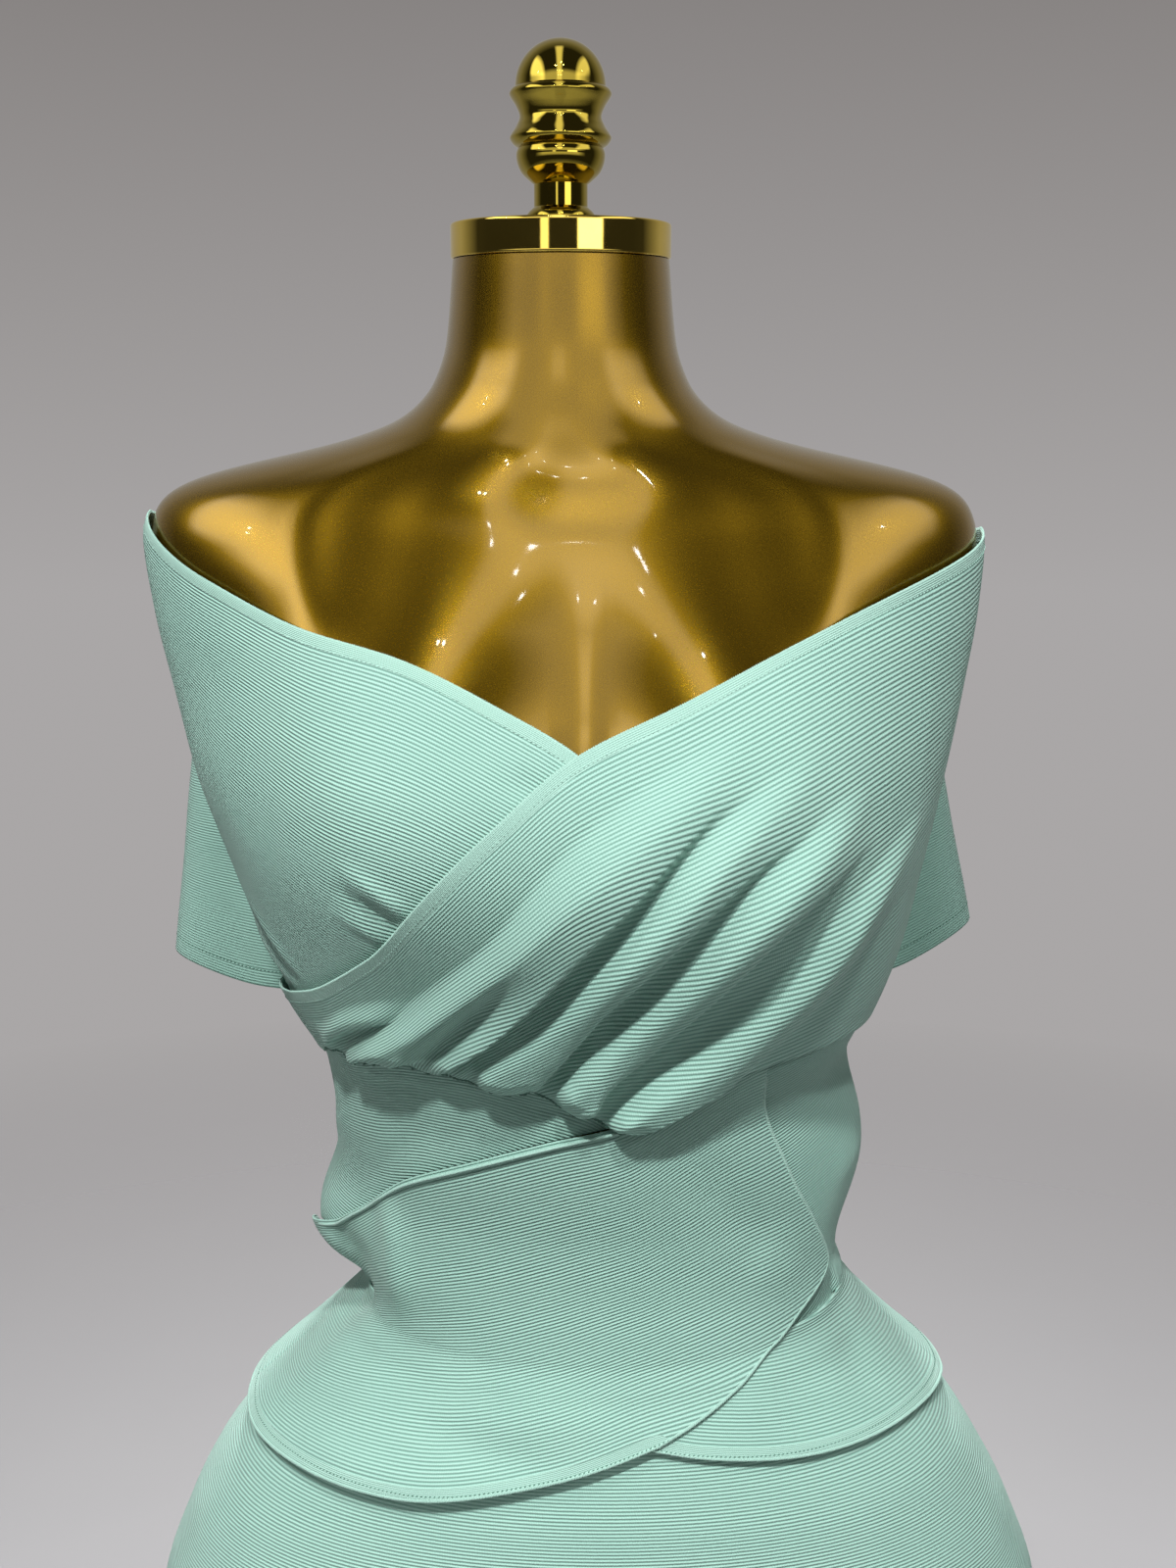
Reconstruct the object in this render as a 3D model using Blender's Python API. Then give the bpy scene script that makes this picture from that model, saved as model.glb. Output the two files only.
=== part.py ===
# Off-the-shoulder bandage-knit bodycon dress with a crossed bodice, peplum and back bow,
# worn by a limbless gold dress form on a pole stand.
# Metres, +Z up, front towards -Y, origin under the stand's base on the pole's axis.
import math

import bmesh
import bpy
import numpy as np

# ---- driving dimensions -------------------------------------------------------------------
BASE_RADIUS = 0.150
BASE_RIM = 0.007             # height of the base's upright rim
BASE_BEVEL = (0.004, 0.003)  # in and up from the rim
BASE_CROWN = 0.017           # its height under the collar
BASE_SHOULDER = 0.060        # radius at which the base's slope levels out
POLE_RADIUS = 0.0125
COLLAR_RADIUS = 0.024
COLLAR_HEIGHT = 0.045
COLLAR_TOP = 0.005           # rounded upper end of the collar
FORM_FOOT = 0.700            # cut end of the form, inside the skirt
WAIST = 1.022                # seam between midriff and skirt
HEM = 0.470                  # bottom edge of the skirt
MIDRIFF_TOP = 1.180          # upper edge of the side midriff, under the top wrap
NECK_TOP = 1.508             # flat top of the neck, under its cap
NECK_SHIFT = -0.018          # the neck stands this far to one side of the pole
CAP_RADIUS = 0.0490
CAP_HEIGHT = 0.0150
CAP_EDGE = (0.0008, 0.0012)  # lower and upper bevel
DOME_RADIUS = 0.0198          # finial's round head
DOME_MIDDLE = 0.0572         # its centre above the cap
# The finial's turning below its head: radius and height above the cap.
FINIAL_TURNING = (
    (0.0150, 0.0000), (0.0153, 0.0006), (0.0153, 0.0030), (0.0136, 0.0058),   # foot
    (0.0119, 0.0070), (0.0119, 0.0165),                                       # neck
    (0.0138, 0.0180), (0.0172, 0.0212), (0.0191, 0.0252), (0.0196, 0.0290),   # lower bulb
    (0.0188, 0.0318), (0.0208, 0.0332), (0.0223, 0.0355), (0.0217, 0.0374),   # ring
    (0.0195, 0.0408), (0.0180, 0.0448), (0.0195, 0.0490),                     # waist
    (0.0217, 0.0524), (0.0224, 0.0541), (0.0216, 0.0560),                     # upper ring
)

CLOTH = 0.0015               # thickness of one layer of knit
SEAM = 0.0003                # gap between two pieces that meet at a seam
FIRST_LAYER = 0.0012         # the form's skin to the inner face of the lowest layer
LAYER_STEP = 0.0025          # one layer's inner face to the next one's
WRAP_STEP = 0.0036           # the same over the bust, where the top wrap stands off the other one
EDGE_RADIUS = 0.0015         # rolled chain-stitched edge
PEPLUM_FLARE = 0.0045        # the peplum's hem stands off this far more than its top
PEPLUM_FLARE_LEVELS = (0.945, 1.005)

FORM_SIDES = 28
TURNED_SIDES = 20
SIDE_SEAM = 90.0             # degrees from centre front
SEAM_ANGLE = 0.09            # half of a seam's gap, in degrees round the body
METRES_PER_DEGREE = 0.0022   # round the body, for spacing points along an edge

# ---- the figure: one row for each level ---------------------------------------------------
# front and back are depths from the neck's axis; the squares fill out the corners of the
# ellipse; sway moves the level sideways; underarm is how far the cloth spans off the ribs.
FIGURE_COLUMNS = ("height", "half_width", "front", "back",
                  "front_square", "back_square", "sway", "underarm")
FIGURE_ROWS = (
    (0.470, 0.1870, 0.0980, 0.1040, 0.06, 0.06, 0.000, 0.000),
    (0.600, 0.2050, 0.1070, 0.1220, 0.05, 0.05, 0.000, 0.000),
    (0.720, 0.2210, 0.1150, 0.1400, 0.04, 0.04, 0.000, 0.000),
    (0.800, 0.2280, 0.1190, 0.1490, 0.03, 0.03, 0.000, 0.000),
    (0.845, 0.2250, 0.1190, 0.1500, 0.03, 0.02, 0.000, 0.000),
    (0.890, 0.2100, 0.1170, 0.1440, 0.03, 0.02, 0.000, 0.000),
    (0.917, 0.1965, 0.1140, 0.1360, 0.03, 0.02, 0.000, 0.000),
    (0.943, 0.1790, 0.1100, 0.1250, 0.03, 0.02, 0.002, 0.000),
    (0.970, 0.1545, 0.1030, 0.1090, 0.03, 0.02, 0.003, 0.000),
    (0.990, 0.1370, 0.0970, 0.0960, 0.03, 0.02, 0.003, 0.000),
    (1.005, 0.1240, 0.0920, 0.0870, 0.03, 0.02, 0.003, 0.000),
    (1.020, 0.1150, 0.0880, 0.0800, 0.03, 0.02, 0.002, 0.000),
    (1.045, 0.1130, 0.0860, 0.0770, 0.03, 0.02, 0.000, 0.000),
    (1.075, 0.1150, 0.0880, 0.0810, 0.03, 0.03, -0.002, 0.000),
    (1.105, 0.1185, 0.0920, 0.0870, 0.03, 0.03, -0.005, 0.000),
    (1.140, 0.1225, 0.0960, 0.0940, 0.02, 0.03, -0.008, 0.000),
    (1.170, 0.1370, 0.1000, 0.0990, 0.01, 0.03, -0.008, 0.005),
    (1.205, 0.1520, 0.1030, 0.1030, -0.01, 0.03, -0.009, 0.015),
    (1.240, 0.1630, 0.1050, 0.1060, -0.03, 0.03, -0.011, 0.024),
    (1.280, 0.1740, 0.1040, 0.1090, -0.04, 0.03, -0.014, 0.031),
    (1.320, 0.1820, 0.0980, 0.1100, -0.04, 0.03, -0.015, 0.024),
    (1.355, 0.1880, 0.0860, 0.1080, -0.02, 0.03, -0.016, 0.008),
    (1.385, 0.1905, 0.0730, 0.1010, 0.00, 0.02, -0.017, 0.000),
    (1.403, 0.1850, 0.0660, 0.0930, 0.00, 0.00, -0.0175, 0.000),
    (1.4145, 0.1745, 0.0610, 0.0830, -0.04, -0.04, -0.0165, 0.000),
    (1.4200, 0.1480, 0.0585, 0.0760, -0.04, -0.04, -0.018, 0.000),
    (1.4260, 0.0970, 0.0570, 0.0710, -0.02, -0.02, -0.018, 0.000),
    (1.4380, 0.0735, 0.0550, 0.0640, 0.00, 0.00, -0.018, 0.000),
    (1.4550, 0.0575, 0.0530, 0.0560, 0.00, 0.00, -0.018, 0.000),
    (1.4730, 0.0515, 0.0505, 0.0515, 0.00, 0.00, -0.018, 0.000),
    (1.5080, 0.0482, 0.0482, 0.0482, 0.00, 0.00, -0.018, 0.000),
)
FIGURE = {name: np.array([row[i] for row in FIGURE_ROWS]) for i, name in enumerate(FIGURE_COLUMNS)}

# Levels at which the form's own rings lie.
FORM_LEVELS = (FORM_FOOT, 0.76, 0.82, 0.87, 0.91, 0.945, 0.972, 0.992, 1.006, 1.02, 1.045, 1.075,
               1.105, 1.135, 1.16, 1.185, 1.21, 1.235, 1.26, 1.285, 1.31, 1.335, 1.36, 1.38,
               1.396, 1.408, 1.4145, 1.419, 1.424, 1.431, 1.442, 1.457, 1.475, NECK_TOP)

BUST = {"across": 0.084, "height": 1.262, "out": 0.036,
        "width": 0.046, "above": 0.052, "below": 0.046}
BRIDGE_DIP = 0.12            # how far the taut cloth sinks between the cups, as part of their depth

# Where the stiff midriff stands off the waist: one row for each side.
STAND_OFF_COLUMNS = ("angle", "spread", "height", "above", "below", "out")
STAND_OFFS = (
    (-92.0, 24.0, 1.050, 0.026, 0.0125, 0.0240),
    (92.0, 24.0, 1.092, 0.030, 0.0260, 0.0135),
)

# ---- edges of the dress, each point (degrees from centre front, height) --------------------
NECKLINE_UNDER = ((-90, 1.3965), (-84, 1.395), (-55, 1.370), (-38, 1.353), (-22, 1.342),
                  (-7, 1.322), (1.5, 1.307), (14, 1.272), (24, 1.236))
NECKLINE_TOP = ((-90, 1.176), (-72, 1.182), (-52.5, 1.194), (-34, 1.221), (-22, 1.250),
                (-10, 1.279), (1.5, 1.306), (15.5, 1.325), (34, 1.349), (50, 1.366), (63, 1.376),
                (76, 1.383), (90, 1.389))
NECKLINE_BACK = ((90, 1.389), (108, 1.384), (132, 1.366), (156, 1.347), (180, 1.340))
GATHER_SEAM = ((8.5, 1.139), (1, 1.152), (-9.5, 1.159), (-25, 1.166), (-35, 1.165),
               (-51, 1.157), (-66, 1.152), (-90, 1.150))
WRAP_LOWER_EDGE = ((8.5, 1.139), (28, 1.166), (51.5, 1.171), (90, 1.168))
SASH_TOP = ((-90, 1.0485), (-72.5, 1.060), (-61.5, 1.074), (-42.5, 1.101), (-25, 1.117),
            (-6.5, 1.131), (7.5, 1.139), (20, 1.157), (34, 1.176))
SASH_PIPED = SASH_TOP[:7]    # the part of it that shows, with a rolled edge
SASH_RIGHT = ((9, 0.984), (23.5, 1.000), (47.5, 1.029), (62, 1.047), (54, 1.073), (46.5, 1.098),
              (40, 1.130), (34, 1.176))
SASH_HEM = ((-90, 0.949), (-76, 0.949), (-55, 0.951), (-32, 0.954), (-11.5, 0.967), (9, 0.984))
PEPLUM_LEFT = ((8, 0.982), (-6, 0.990), (-20, 1.004), (-30, WAIST))
PEPLUM_HEM = ((8, 0.982), (17, 0.977), (35, 0.971), (62, 0.967), (79, 0.962), (90, 0.958))
PEPLUM_BACK_HEM = ((90, 0.958), (125, 0.952), (180, 0.948))
PEPLUM_BACK_DROP = 0.009     # the left hem hangs this much lower at its side seam
MIDRIFF_RIGHT_EDGE = ((44, WAIST + 2 * SEAM), (44, 1.060), (36, 1.098), (26, 1.130), (20, MIDRIFF_TOP))
UNDER_WRAP_EDGE = ((17, 1.190),)   # a point between the ends of its hidden edge
GATHER_TUCK = 0.0066         # the pieces under the gathered end start this far above it
MIDRIFF_TUCK = 0.0060

# ---- levels of the grids' rows -------------------------------------------------------------
SKIRT_LEVELS = (HEM, 0.58, 0.69, 0.76, 0.82, 0.87, 0.91, 0.943, 0.97, 0.99, 1.003, 1.013, WAIST)
BAND_FOOT = 1.172            # seam between the back bodice and the band above it
BAND_RISE = 0.0075           # the left band's top lies this much higher at its side seam
BACK_LEVELS = (WAIST + 2 * SEAM, 1.036, 1.050, 1.064, 1.080, 1.098, 1.120, 1.146, BAND_FOOT - SEAM)

# Gathers of the top wrap: where along the gathered end (0 lower, 1 upper), half width of the
# fold, height of its crest, and how far along the wrap it dies out.
FOLD_COLUMNS = ("place", "width", "crest", "reach")
FOLDS = (
    (0.045, 0.040, 0.0075, 0.52),
    (0.185, 0.042, 0.0100, 0.60),
    (0.320, 0.040, 0.0095, 0.62),
    (0.450, 0.040, 0.0110, 0.66),
    (0.580, 0.036, 0.0080, 0.62),
    (0.690, 0.030, 0.0060, 0.50),
)

# ---- bow at centre back --------------------------------------------------------------------
BOW_HEIGHT = 1.196           # level of the knot's centre
BOW_SIDE = 0.007             # the bow hangs this far to the -X side
LOOP_GAP = 0.022             # between a loop's front and rear leaf
LOOP_BULGE = 0.011           # a leaf bows this far away from the back
LOOP_COLUMNS = ("name", "way", "reach", "rise", "lean")
LOOPS = (
    ("bow_loop_right", 1, 0.212, 0.038, 0.030),
    ("bow_loop_left", -1, 0.228, 0.020, 0.018),
)
LOOP_ROOT = 0.006            # the leaves start this far from the knot's middle
LOOP_FOLD = 0.019            # and the outer fold starts this far before the loop's end
# Along a loop from the knot to its outer fold: share of the reach, height of the knit,
# share of the rise.
LOOP_SHAPE_COLUMNS = ("along", "tall", "rise")
LOOP_SHAPE_ROWS = (
    (0.00, 0.060, 0.00),
    (0.11, 0.062, 0.00),
    (0.25, 0.116, 0.03),
    (0.50, 0.160, 0.16),
    (0.78, 0.156, 0.50),
    (1.00, 0.134, 1.00),
)
LOOP_SHAPE = {name: np.array([row[i] for row in LOOP_SHAPE_ROWS])
              for i, name in enumerate(LOOP_SHAPE_COLUMNS)}
KNOT_WIDTH = 0.046
KNOT_TALL = 0.088
KNOT_DEEP = 0.034
KNOT_CORNER = 0.012
KNOT_SINK = 0.0007           # the knot presses this far into the band's curve

MINT = (0.39, 0.70, 0.58)
MINT_SHADE = (0.34, 0.64, 0.53)
GOLD_PAINT = (0.45, 0.24, 0.03)
GOLD_PLATE = (0.83, 0.55, 0.12)


# ---- scene and materials -------------------------------------------------------------------
def clear_scene():
    for thing in list(bpy.data.objects):
        bpy.data.objects.remove(thing, do_unlink=True)


def material(name, colour, roughness, metallic):
    made = bpy.data.materials.new(name)
    made.use_nodes = True
    shader = made.node_tree.nodes["Principled BSDF"]
    shader.inputs["Base Color"].default_value = (*colour, 1.0)
    shader.inputs["Roughness"].default_value = roughness
    shader.inputs["Metallic"].default_value = metallic
    return made


def add_object(name, vertices, faces, surface, smooth_angle=60.0):
    mesh = bpy.data.meshes.new(name)
    mesh.from_pydata([tuple(map(float, v)) for v in vertices], [], faces)
    mesh.materials.append(surface)
    shell = bmesh.new()
    shell.from_mesh(mesh)
    bmesh.ops.recalc_face_normals(shell, faces=shell.faces)
    shell.to_mesh(mesh)
    shell.free()
    mesh.shade_smooth()
    mesh.set_sharp_from_angle(angle=math.radians(smooth_angle))
    made = bpy.data.objects.new(name, mesh)
    bpy.context.scene.collection.objects.link(made)
    return made


# ---- the figure's surface ------------------------------------------------------------------
def smooth_read(at, knots, values):
    """Monotone cubic through a table's column."""
    slope = np.diff(values) / np.diff(knots)
    tangent = np.empty_like(values)
    tangent[0] = slope[0]
    tangent[-1] = slope[-1]
    same_way = slope[:-1] * slope[1:] > 0
    total = np.where(same_way, slope[:-1] + slope[1:], 1.0)
    tangent[1:-1] = np.where(same_way, 2 * slope[:-1] * slope[1:] / total, 0.0)
    at = np.clip(at, knots[0], knots[-1])
    i = np.clip(np.searchsorted(knots, at, side="right") - 1, 0, len(knots) - 2)
    step = knots[i + 1] - knots[i]
    t = (at - knots[i]) / step
    return ((1 + 2 * t) * (1 - t) ** 2 * values[i] + t * (1 - t) ** 2 * step * tangent[i]
            + t * t * (3 - 2 * t) * values[i + 1] + t * t * (t - 1) * step * tangent[i + 1])


def figure(column, height):
    return smooth_read(height, FIGURE["height"], FIGURE[column])


def bell(offset, width):
    return np.exp(-0.5 * (offset / width) ** 2)


def ramp(value, start, end):
    t = np.clip((value - start) / (end - start), 0.0, 1.0)
    return t * t * (3 - 2 * t)


def cups(across, height, bridged):
    reach = np.where(height > BUST["height"], BUST["above"], BUST["below"])
    beside = np.abs(across) - BUST["across"]
    share = bell(beside, BUST["width"])
    if bridged:
        dip = 1 - BRIDGE_DIP * (1 - (across / BUST["across"]) ** 2) ** 2
        share = np.where(beside < 0, dip, share)
    return BUST["out"] * share * bell(height - BUST["height"], reach)


def stand_off(angle, height):
    total = 0.0
    for row in STAND_OFFS:
        bump = dict(zip(STAND_OFF_COLUMNS, row))
        reach = np.where(height > bump["height"], bump["above"], bump["below"])
        round_the_side = (angle - bump["angle"] + 180.0) % 360.0 - 180.0
        share = bell(height - bump["height"], reach) * bell(round_the_side, bump["spread"])
        total = total + bump["out"] * share
    return total


def figure_point(angle, height, worn):
    """A point of the worn cloth's lowest face, or of the bare form."""
    turn = np.radians(angle)
    side, ahead = np.sin(turn), np.cos(turn)
    in_front = ahead > 0
    square = np.where(in_front, figure("front_square", height), figure("back_square", height))
    fill = 1 + square * np.sin(2 * turn) ** 2
    depth = np.where(in_front, figure("front", height), figure("back", height))
    x = figure("half_width", height) * side * fill
    y = -depth * ahead * fill
    y = y - cups(x, height, worn) * np.clip(2.2 * ahead, 0, 1)
    if worn:
        out = stand_off(angle, height)
        x = x + out * side
        y = y - out * ahead
    else:
        x = x - figure("underarm", height) * side * np.abs(side) ** 2
    return np.stack([x + figure("sway", height), y, height + 0 * turn], axis=-1)


def cloth_point(angle, height, out):
    """The worn surface moved out along its normal."""
    turn_step, rise_step = 0.6, 0.0008
    left = figure_point(angle - turn_step, height, True)
    right = figure_point(angle + turn_step, height, True)
    below = figure_point(angle, height - rise_step, True)
    above = figure_point(angle, height + rise_step, True)
    normal = np.cross(right - left, above - below)
    normal = normal / np.linalg.norm(normal, axis=-1, keepdims=True)
    return figure_point(angle, height, True) + normal * np.asarray(out)[..., None]


# ---- sheets --------------------------------------------------------------------------------
def run_along(points):
    """Length from the first point of a curve of angles and heights to each of its points."""
    steps = np.diff(points * (METRES_PER_DEGREE, 1.0), axis=0)
    return np.concatenate([[0.0], np.cumsum(np.linalg.norm(steps, axis=1))])


def curve_points(points, count):
    """Count + 1 points, evenly spaced along a smooth curve through hand-placed ones."""
    knots = np.array(points, dtype=float)
    run = run_along(knots)
    fine = np.linspace(0.0, run[-1], 400)
    dense = np.stack([smooth_read(fine, run, column) for column in knots.T], axis=1)
    length = run_along(dense)
    even = np.linspace(0.0, length[-1], count + 1)
    return np.stack([np.interp(even, length, column) for column in dense.T], axis=1)


def patch(lower, upper, start, end):
    """Fill four boundary curves; rows run from lower to upper, columns from start to end."""
    along = np.linspace(0, 1, len(lower))[None, :, None]
    up = np.linspace(0, 1, len(start))[:, None, None]
    ruled = (1 - up) * lower[None] + up * upper[None]
    swept = (1 - along) * start[:, None] + along * end[:, None]
    corners = ((1 - up) * ((1 - along) * lower[0] + along * lower[-1])
               + up * ((1 - along) * upper[0] + along * upper[-1]))
    return ruled + swept - corners


def straight(first, last, count):
    return np.linspace(first, last, count + 1)


def level_grid(angles, levels):
    """A grid whose rows are level and whose columns are upright."""
    return np.stack(np.broadcast_arrays(angles[None, :], np.array(levels)[:, None]), axis=-1)


def thick_sheet(name, inner, outer, surface):
    """One closed solid between two grids of points."""
    rows, columns = inner.shape[:2]
    vertices = np.concatenate([inner.reshape(-1, 3), outer.reshape(-1, 3)])
    far = rows * columns
    faces = []
    for r in range(rows - 1):
        for c in range(columns - 1):
            a = r * columns + c
            quad = (a, a + 1, a + columns + 1, a + columns)
            faces.append(tuple(v + far for v in quad))
            faces.append(tuple(reversed(quad)))
    rim = [(0, c) for c in range(columns)]
    rim += [(r, columns - 1) for r in range(1, rows)]
    rim += [(rows - 1, c) for c in range(columns - 2, -1, -1)]
    rim += [(r, 0) for r in range(rows - 2, 0, -1)]
    ring = [r * columns + c for r, c in rim]
    for here, there in zip(ring, ring[1:] + ring[:1]):
        faces.append((here, there, there + far, here + far))
    return add_object(name, vertices, faces, surface)


def worn_sheet(name, grid, lift, surface):
    """A sheet laid on the figure: grid holds angles and heights, lift its inner face's distance."""
    angle, height = grid[..., 0], grid[..., 1]
    inner = cloth_point(angle, height, lift + 0 * angle)
    outer = cloth_point(angle, height, lift + CLOTH + 0 * angle)
    return thick_sheet(name, inner, outer, surface)


def rolled_edge(name, curve, lift, surface, sides=6):
    """A round edge that follows a curve on the figure."""
    middle = cloth_point(curve[:, 0], curve[:, 1], lift)
    outward = cloth_point(curve[:, 0], curve[:, 1], lift + 0.01) - middle
    outward = outward / np.linalg.norm(outward, axis=1, keepdims=True)
    forward = np.gradient(middle, axis=0)
    across = np.cross(forward, outward)
    across = across / np.linalg.norm(across, axis=1, keepdims=True)
    vertices = []
    for point, up, aside in zip(middle, outward, across):
        for k in range(sides):
            turn = 2 * math.pi * k / sides
            vertices.append(point + EDGE_RADIUS * (up * math.cos(turn) + aside * math.sin(turn)))
    faces = []
    for i in range(len(middle) - 1):
        for k in range(sides):
            a, b = i * sides + k, i * sides + (k + 1) % sides
            faces.append((a, b, b + sides, a + sides))
    last = (len(middle) - 1) * sides
    faces.append(tuple(range(sides)))
    faces.append(tuple(last + k for k in range(sides)))
    return add_object(name, vertices, faces, surface)


# ---- stand and form ------------------------------------------------------------------------
def turned(name, profile, centre, surface, smooth_angle=40.0):
    """A solid turned about a vertical line; profile holds radii and heights, bottom to top."""
    vertices = []
    for radius, height in profile:
        for k in range(TURNED_SIDES):
            turn = 2 * math.pi * k / TURNED_SIDES
            vertices.append((centre + radius * math.cos(turn), radius * math.sin(turn), height))
    faces = []
    for i in range(len(profile) - 1):
        for k in range(TURNED_SIDES):
            a, b = i * TURNED_SIDES + k, i * TURNED_SIDES + (k + 1) % TURNED_SIDES
            faces.append((a, b, b + TURNED_SIDES, a + TURNED_SIDES))
    last = (len(profile) - 1) * TURNED_SIDES
    faces.append(tuple(range(TURNED_SIDES)))
    faces.append(tuple(last + k for k in range(TURNED_SIDES)))
    return add_object(name, vertices, faces, surface, smooth_angle)


def make_stand(surface):
    bevel_in, bevel_up = BASE_BEVEL
    base = ((BASE_RADIUS, 0.0),
            (BASE_RADIUS, BASE_RIM),
            (BASE_RADIUS - bevel_in, BASE_RIM + bevel_up),
            (BASE_SHOULDER, BASE_CROWN - 0.001),
            (COLLAR_RADIUS + 0.004, BASE_CROWN))
    turned("stand_base", base, 0.0, surface)
    foot = BASE_CROWN + SEAM
    collar_end = foot + COLLAR_HEIGHT
    pole = ((COLLAR_RADIUS, foot),
            (COLLAR_RADIUS, collar_end),
            (POLE_RADIUS + 0.0033, collar_end + 0.8 * COLLAR_TOP),
            (POLE_RADIUS, collar_end + COLLAR_TOP),
            (POLE_RADIUS, FORM_FOOT - SEAM))
    turned("stand_pole", pole, 0.0, surface)


def make_form(surface):
    angles = np.arange(FORM_SIDES) * 360.0 / FORM_SIDES
    rings = [figure_point(angles, np.full(FORM_SIDES, level), False) for level in FORM_LEVELS]
    faces = []
    for i in range(len(rings) - 1):
        for k in range(FORM_SIDES):
            a, b = i * FORM_SIDES + k, i * FORM_SIDES + (k + 1) % FORM_SIDES
            faces.append((a, b, b + FORM_SIDES, a + FORM_SIDES))
    last = (len(rings) - 1) * FORM_SIDES
    faces.append(tuple(range(FORM_SIDES)))
    faces.append(tuple(last + k for k in range(FORM_SIDES)))
    add_object("form_torso", np.concatenate(rings), faces, surface)


def arc(radius, middle, start, end, steps):
    """Profile points on a circle whose centre is on the axis at the height middle."""
    angles = [math.radians(start + (end - start) * i / steps) for i in range(steps + 1)]
    return [(radius * math.cos(a), middle + radius * math.sin(a)) for a in angles]


def make_neck_cap(surface):
    foot = NECK_TOP + SEAM
    below, above = CAP_EDGE
    cap = ((CAP_RADIUS - below, foot),
           (CAP_RADIUS, foot + below),
           (CAP_RADIUS, foot + CAP_HEIGHT - above),
           (CAP_RADIUS - above, foot + CAP_HEIGHT))
    turned("neck_cap", cap, NECK_SHIFT, surface)
    sole = foot + CAP_HEIGHT + SEAM
    profile = [(radius, sole + rise) for radius, rise in FINIAL_TURNING]
    profile += arc(DOME_RADIUS, sole + DOME_MIDDLE, 0, 84, 6)
    turned("neck_finial", profile, NECK_SHIFT, surface)


# ---- dress ---------------------------------------------------------------------------------
def layer(number):
    return FIRST_LAYER + LAYER_STEP * number


def moved(points, rise):
    return [(angle, height + rise) for angle, height in points]


def make_under_wrap(surface):
    columns, rows = 16, 12
    seam = list(reversed(moved(GATHER_SEAM, GATHER_TUCK)))
    lower = curve_points(seam, columns)
    upper = curve_points(NECKLINE_UNDER, columns)
    left = straight(lower[0], upper[0], rows)
    right = curve_points((tuple(lower[-1]), *UNDER_WRAP_EDGE, tuple(upper[-1])), rows)
    grid = patch(lower, upper, left, right)
    grid[..., 0] = np.maximum(grid[..., 0], -SIDE_SEAM + SEAM_ANGLE)
    worn_sheet("bodice_under_wrap", grid, layer(0), surface)


def wrap_folds(along, up):
    """Height of the gathers; along runs from the gathered end to the side seam."""
    total = 0.0
    for row in FOLDS:
        fold = dict(zip(FOLD_COLUMNS, row))
        rise = ramp(along, -0.10, 0.12)
        fade = 1 - ramp(along, 0.25, fold["reach"])
        widening = fold["width"] * (1 + 0.6 * along)
        total = total + fold["crest"] * rise * fade * bell(up - fold["place"], widening)
    return total


def make_top_wrap(surface):
    columns, rows = 18, 25
    lower = curve_points(WRAP_LOWER_EDGE, columns)
    upper = curve_points(NECKLINE_TOP, columns)
    gathered = curve_points(GATHER_SEAM + (tuple(NECKLINE_TOP[0]),), rows)
    side = straight(WRAP_LOWER_EDGE[-1], NECKLINE_TOP[-1], rows)
    grid = patch(lower, upper, gathered, side)
    grid[..., 0] = np.clip(grid[..., 0], -SIDE_SEAM + SEAM_ANGLE, SIDE_SEAM - SEAM_ANGLE)
    along = np.linspace(0, 1, columns + 1)[None, :]
    up = np.linspace(0, 1, rows + 1)[:, None]
    over_under = 1 - ramp(grid[..., 0], 42, 80)
    over_sash = 1 - ramp(up, 0.05, 0.30)
    lift = layer(0) + WRAP_STEP * over_under + LAYER_STEP * over_sash + wrap_folds(along, up)
    worn_sheet("bodice_top_wrap", grid, lift, surface)


def make_midriff(surface):
    columns, rows = 16, 6
    upper = curve_points(list(reversed(moved(GATHER_SEAM, MIDRIFF_TUCK))), columns)
    lower = curve_points(SASH_PIPED, columns)
    side = straight(lower[0], upper[0], rows)
    tip = straight(lower[-1], upper[-1], rows)
    grid = patch(lower, upper, side, tip)
    grid[..., 0] = np.maximum(grid[..., 0], -SIDE_SEAM + SEAM_ANGLE)
    worn_sheet("midriff_left", grid, layer(0), surface)

    columns, rows = 7, 8
    edge = curve_points(MIDRIFF_RIGHT_EDGE, rows)
    seam = SIDE_SEAM - SEAM_ANGLE
    side = straight((seam, WAIST + 2 * SEAM), (seam, MIDRIFF_TOP), rows)
    lower = straight(edge[0], side[0], columns)
    upper = straight(edge[-1], side[-1], columns)
    grid = patch(lower, upper, edge, side)
    worn_sheet("midriff_right", grid, layer(0), surface)


def sash_lift(angle, height):
    """The sash lies one layer up, and two where it covers the peplum's crossing end."""
    crossing = ramp(angle, -62, -38) * (1 - ramp(height, 1.030, 1.085))
    return layer(1) + LAYER_STEP * crossing + peplum_flare(height)


def peplum_flare(height):
    return PEPLUM_FLARE * (1 - ramp(height, *PEPLUM_FLARE_LEVELS))


def make_sash(surface, edge_surface):
    columns, rows = 18, 14
    hem = curve_points(SASH_HEM, columns)
    top = curve_points(SASH_TOP, columns)
    left = straight(hem[0], top[0], rows)
    right = curve_points(SASH_RIGHT, rows)
    grid = patch(hem, top, left, right)
    grid[..., 0] = np.maximum(grid[..., 0], -SIDE_SEAM + SEAM_ANGLE)
    worn_sheet("sash_front", grid, sash_lift(grid[..., 0], grid[..., 1]), surface)
    piping = curve_points(SASH_PIPED, 22)
    piping[:, 0] = np.maximum(piping[:, 0], -SIDE_SEAM + SEAM_ANGLE)
    piping[:, 1] -= EDGE_RADIUS
    lift = sash_lift(piping[:, 0], piping[:, 1]) + CLOTH + EDGE_RADIUS + SEAM
    rolled_edge("sash_piping", piping, lift, edge_surface)


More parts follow.
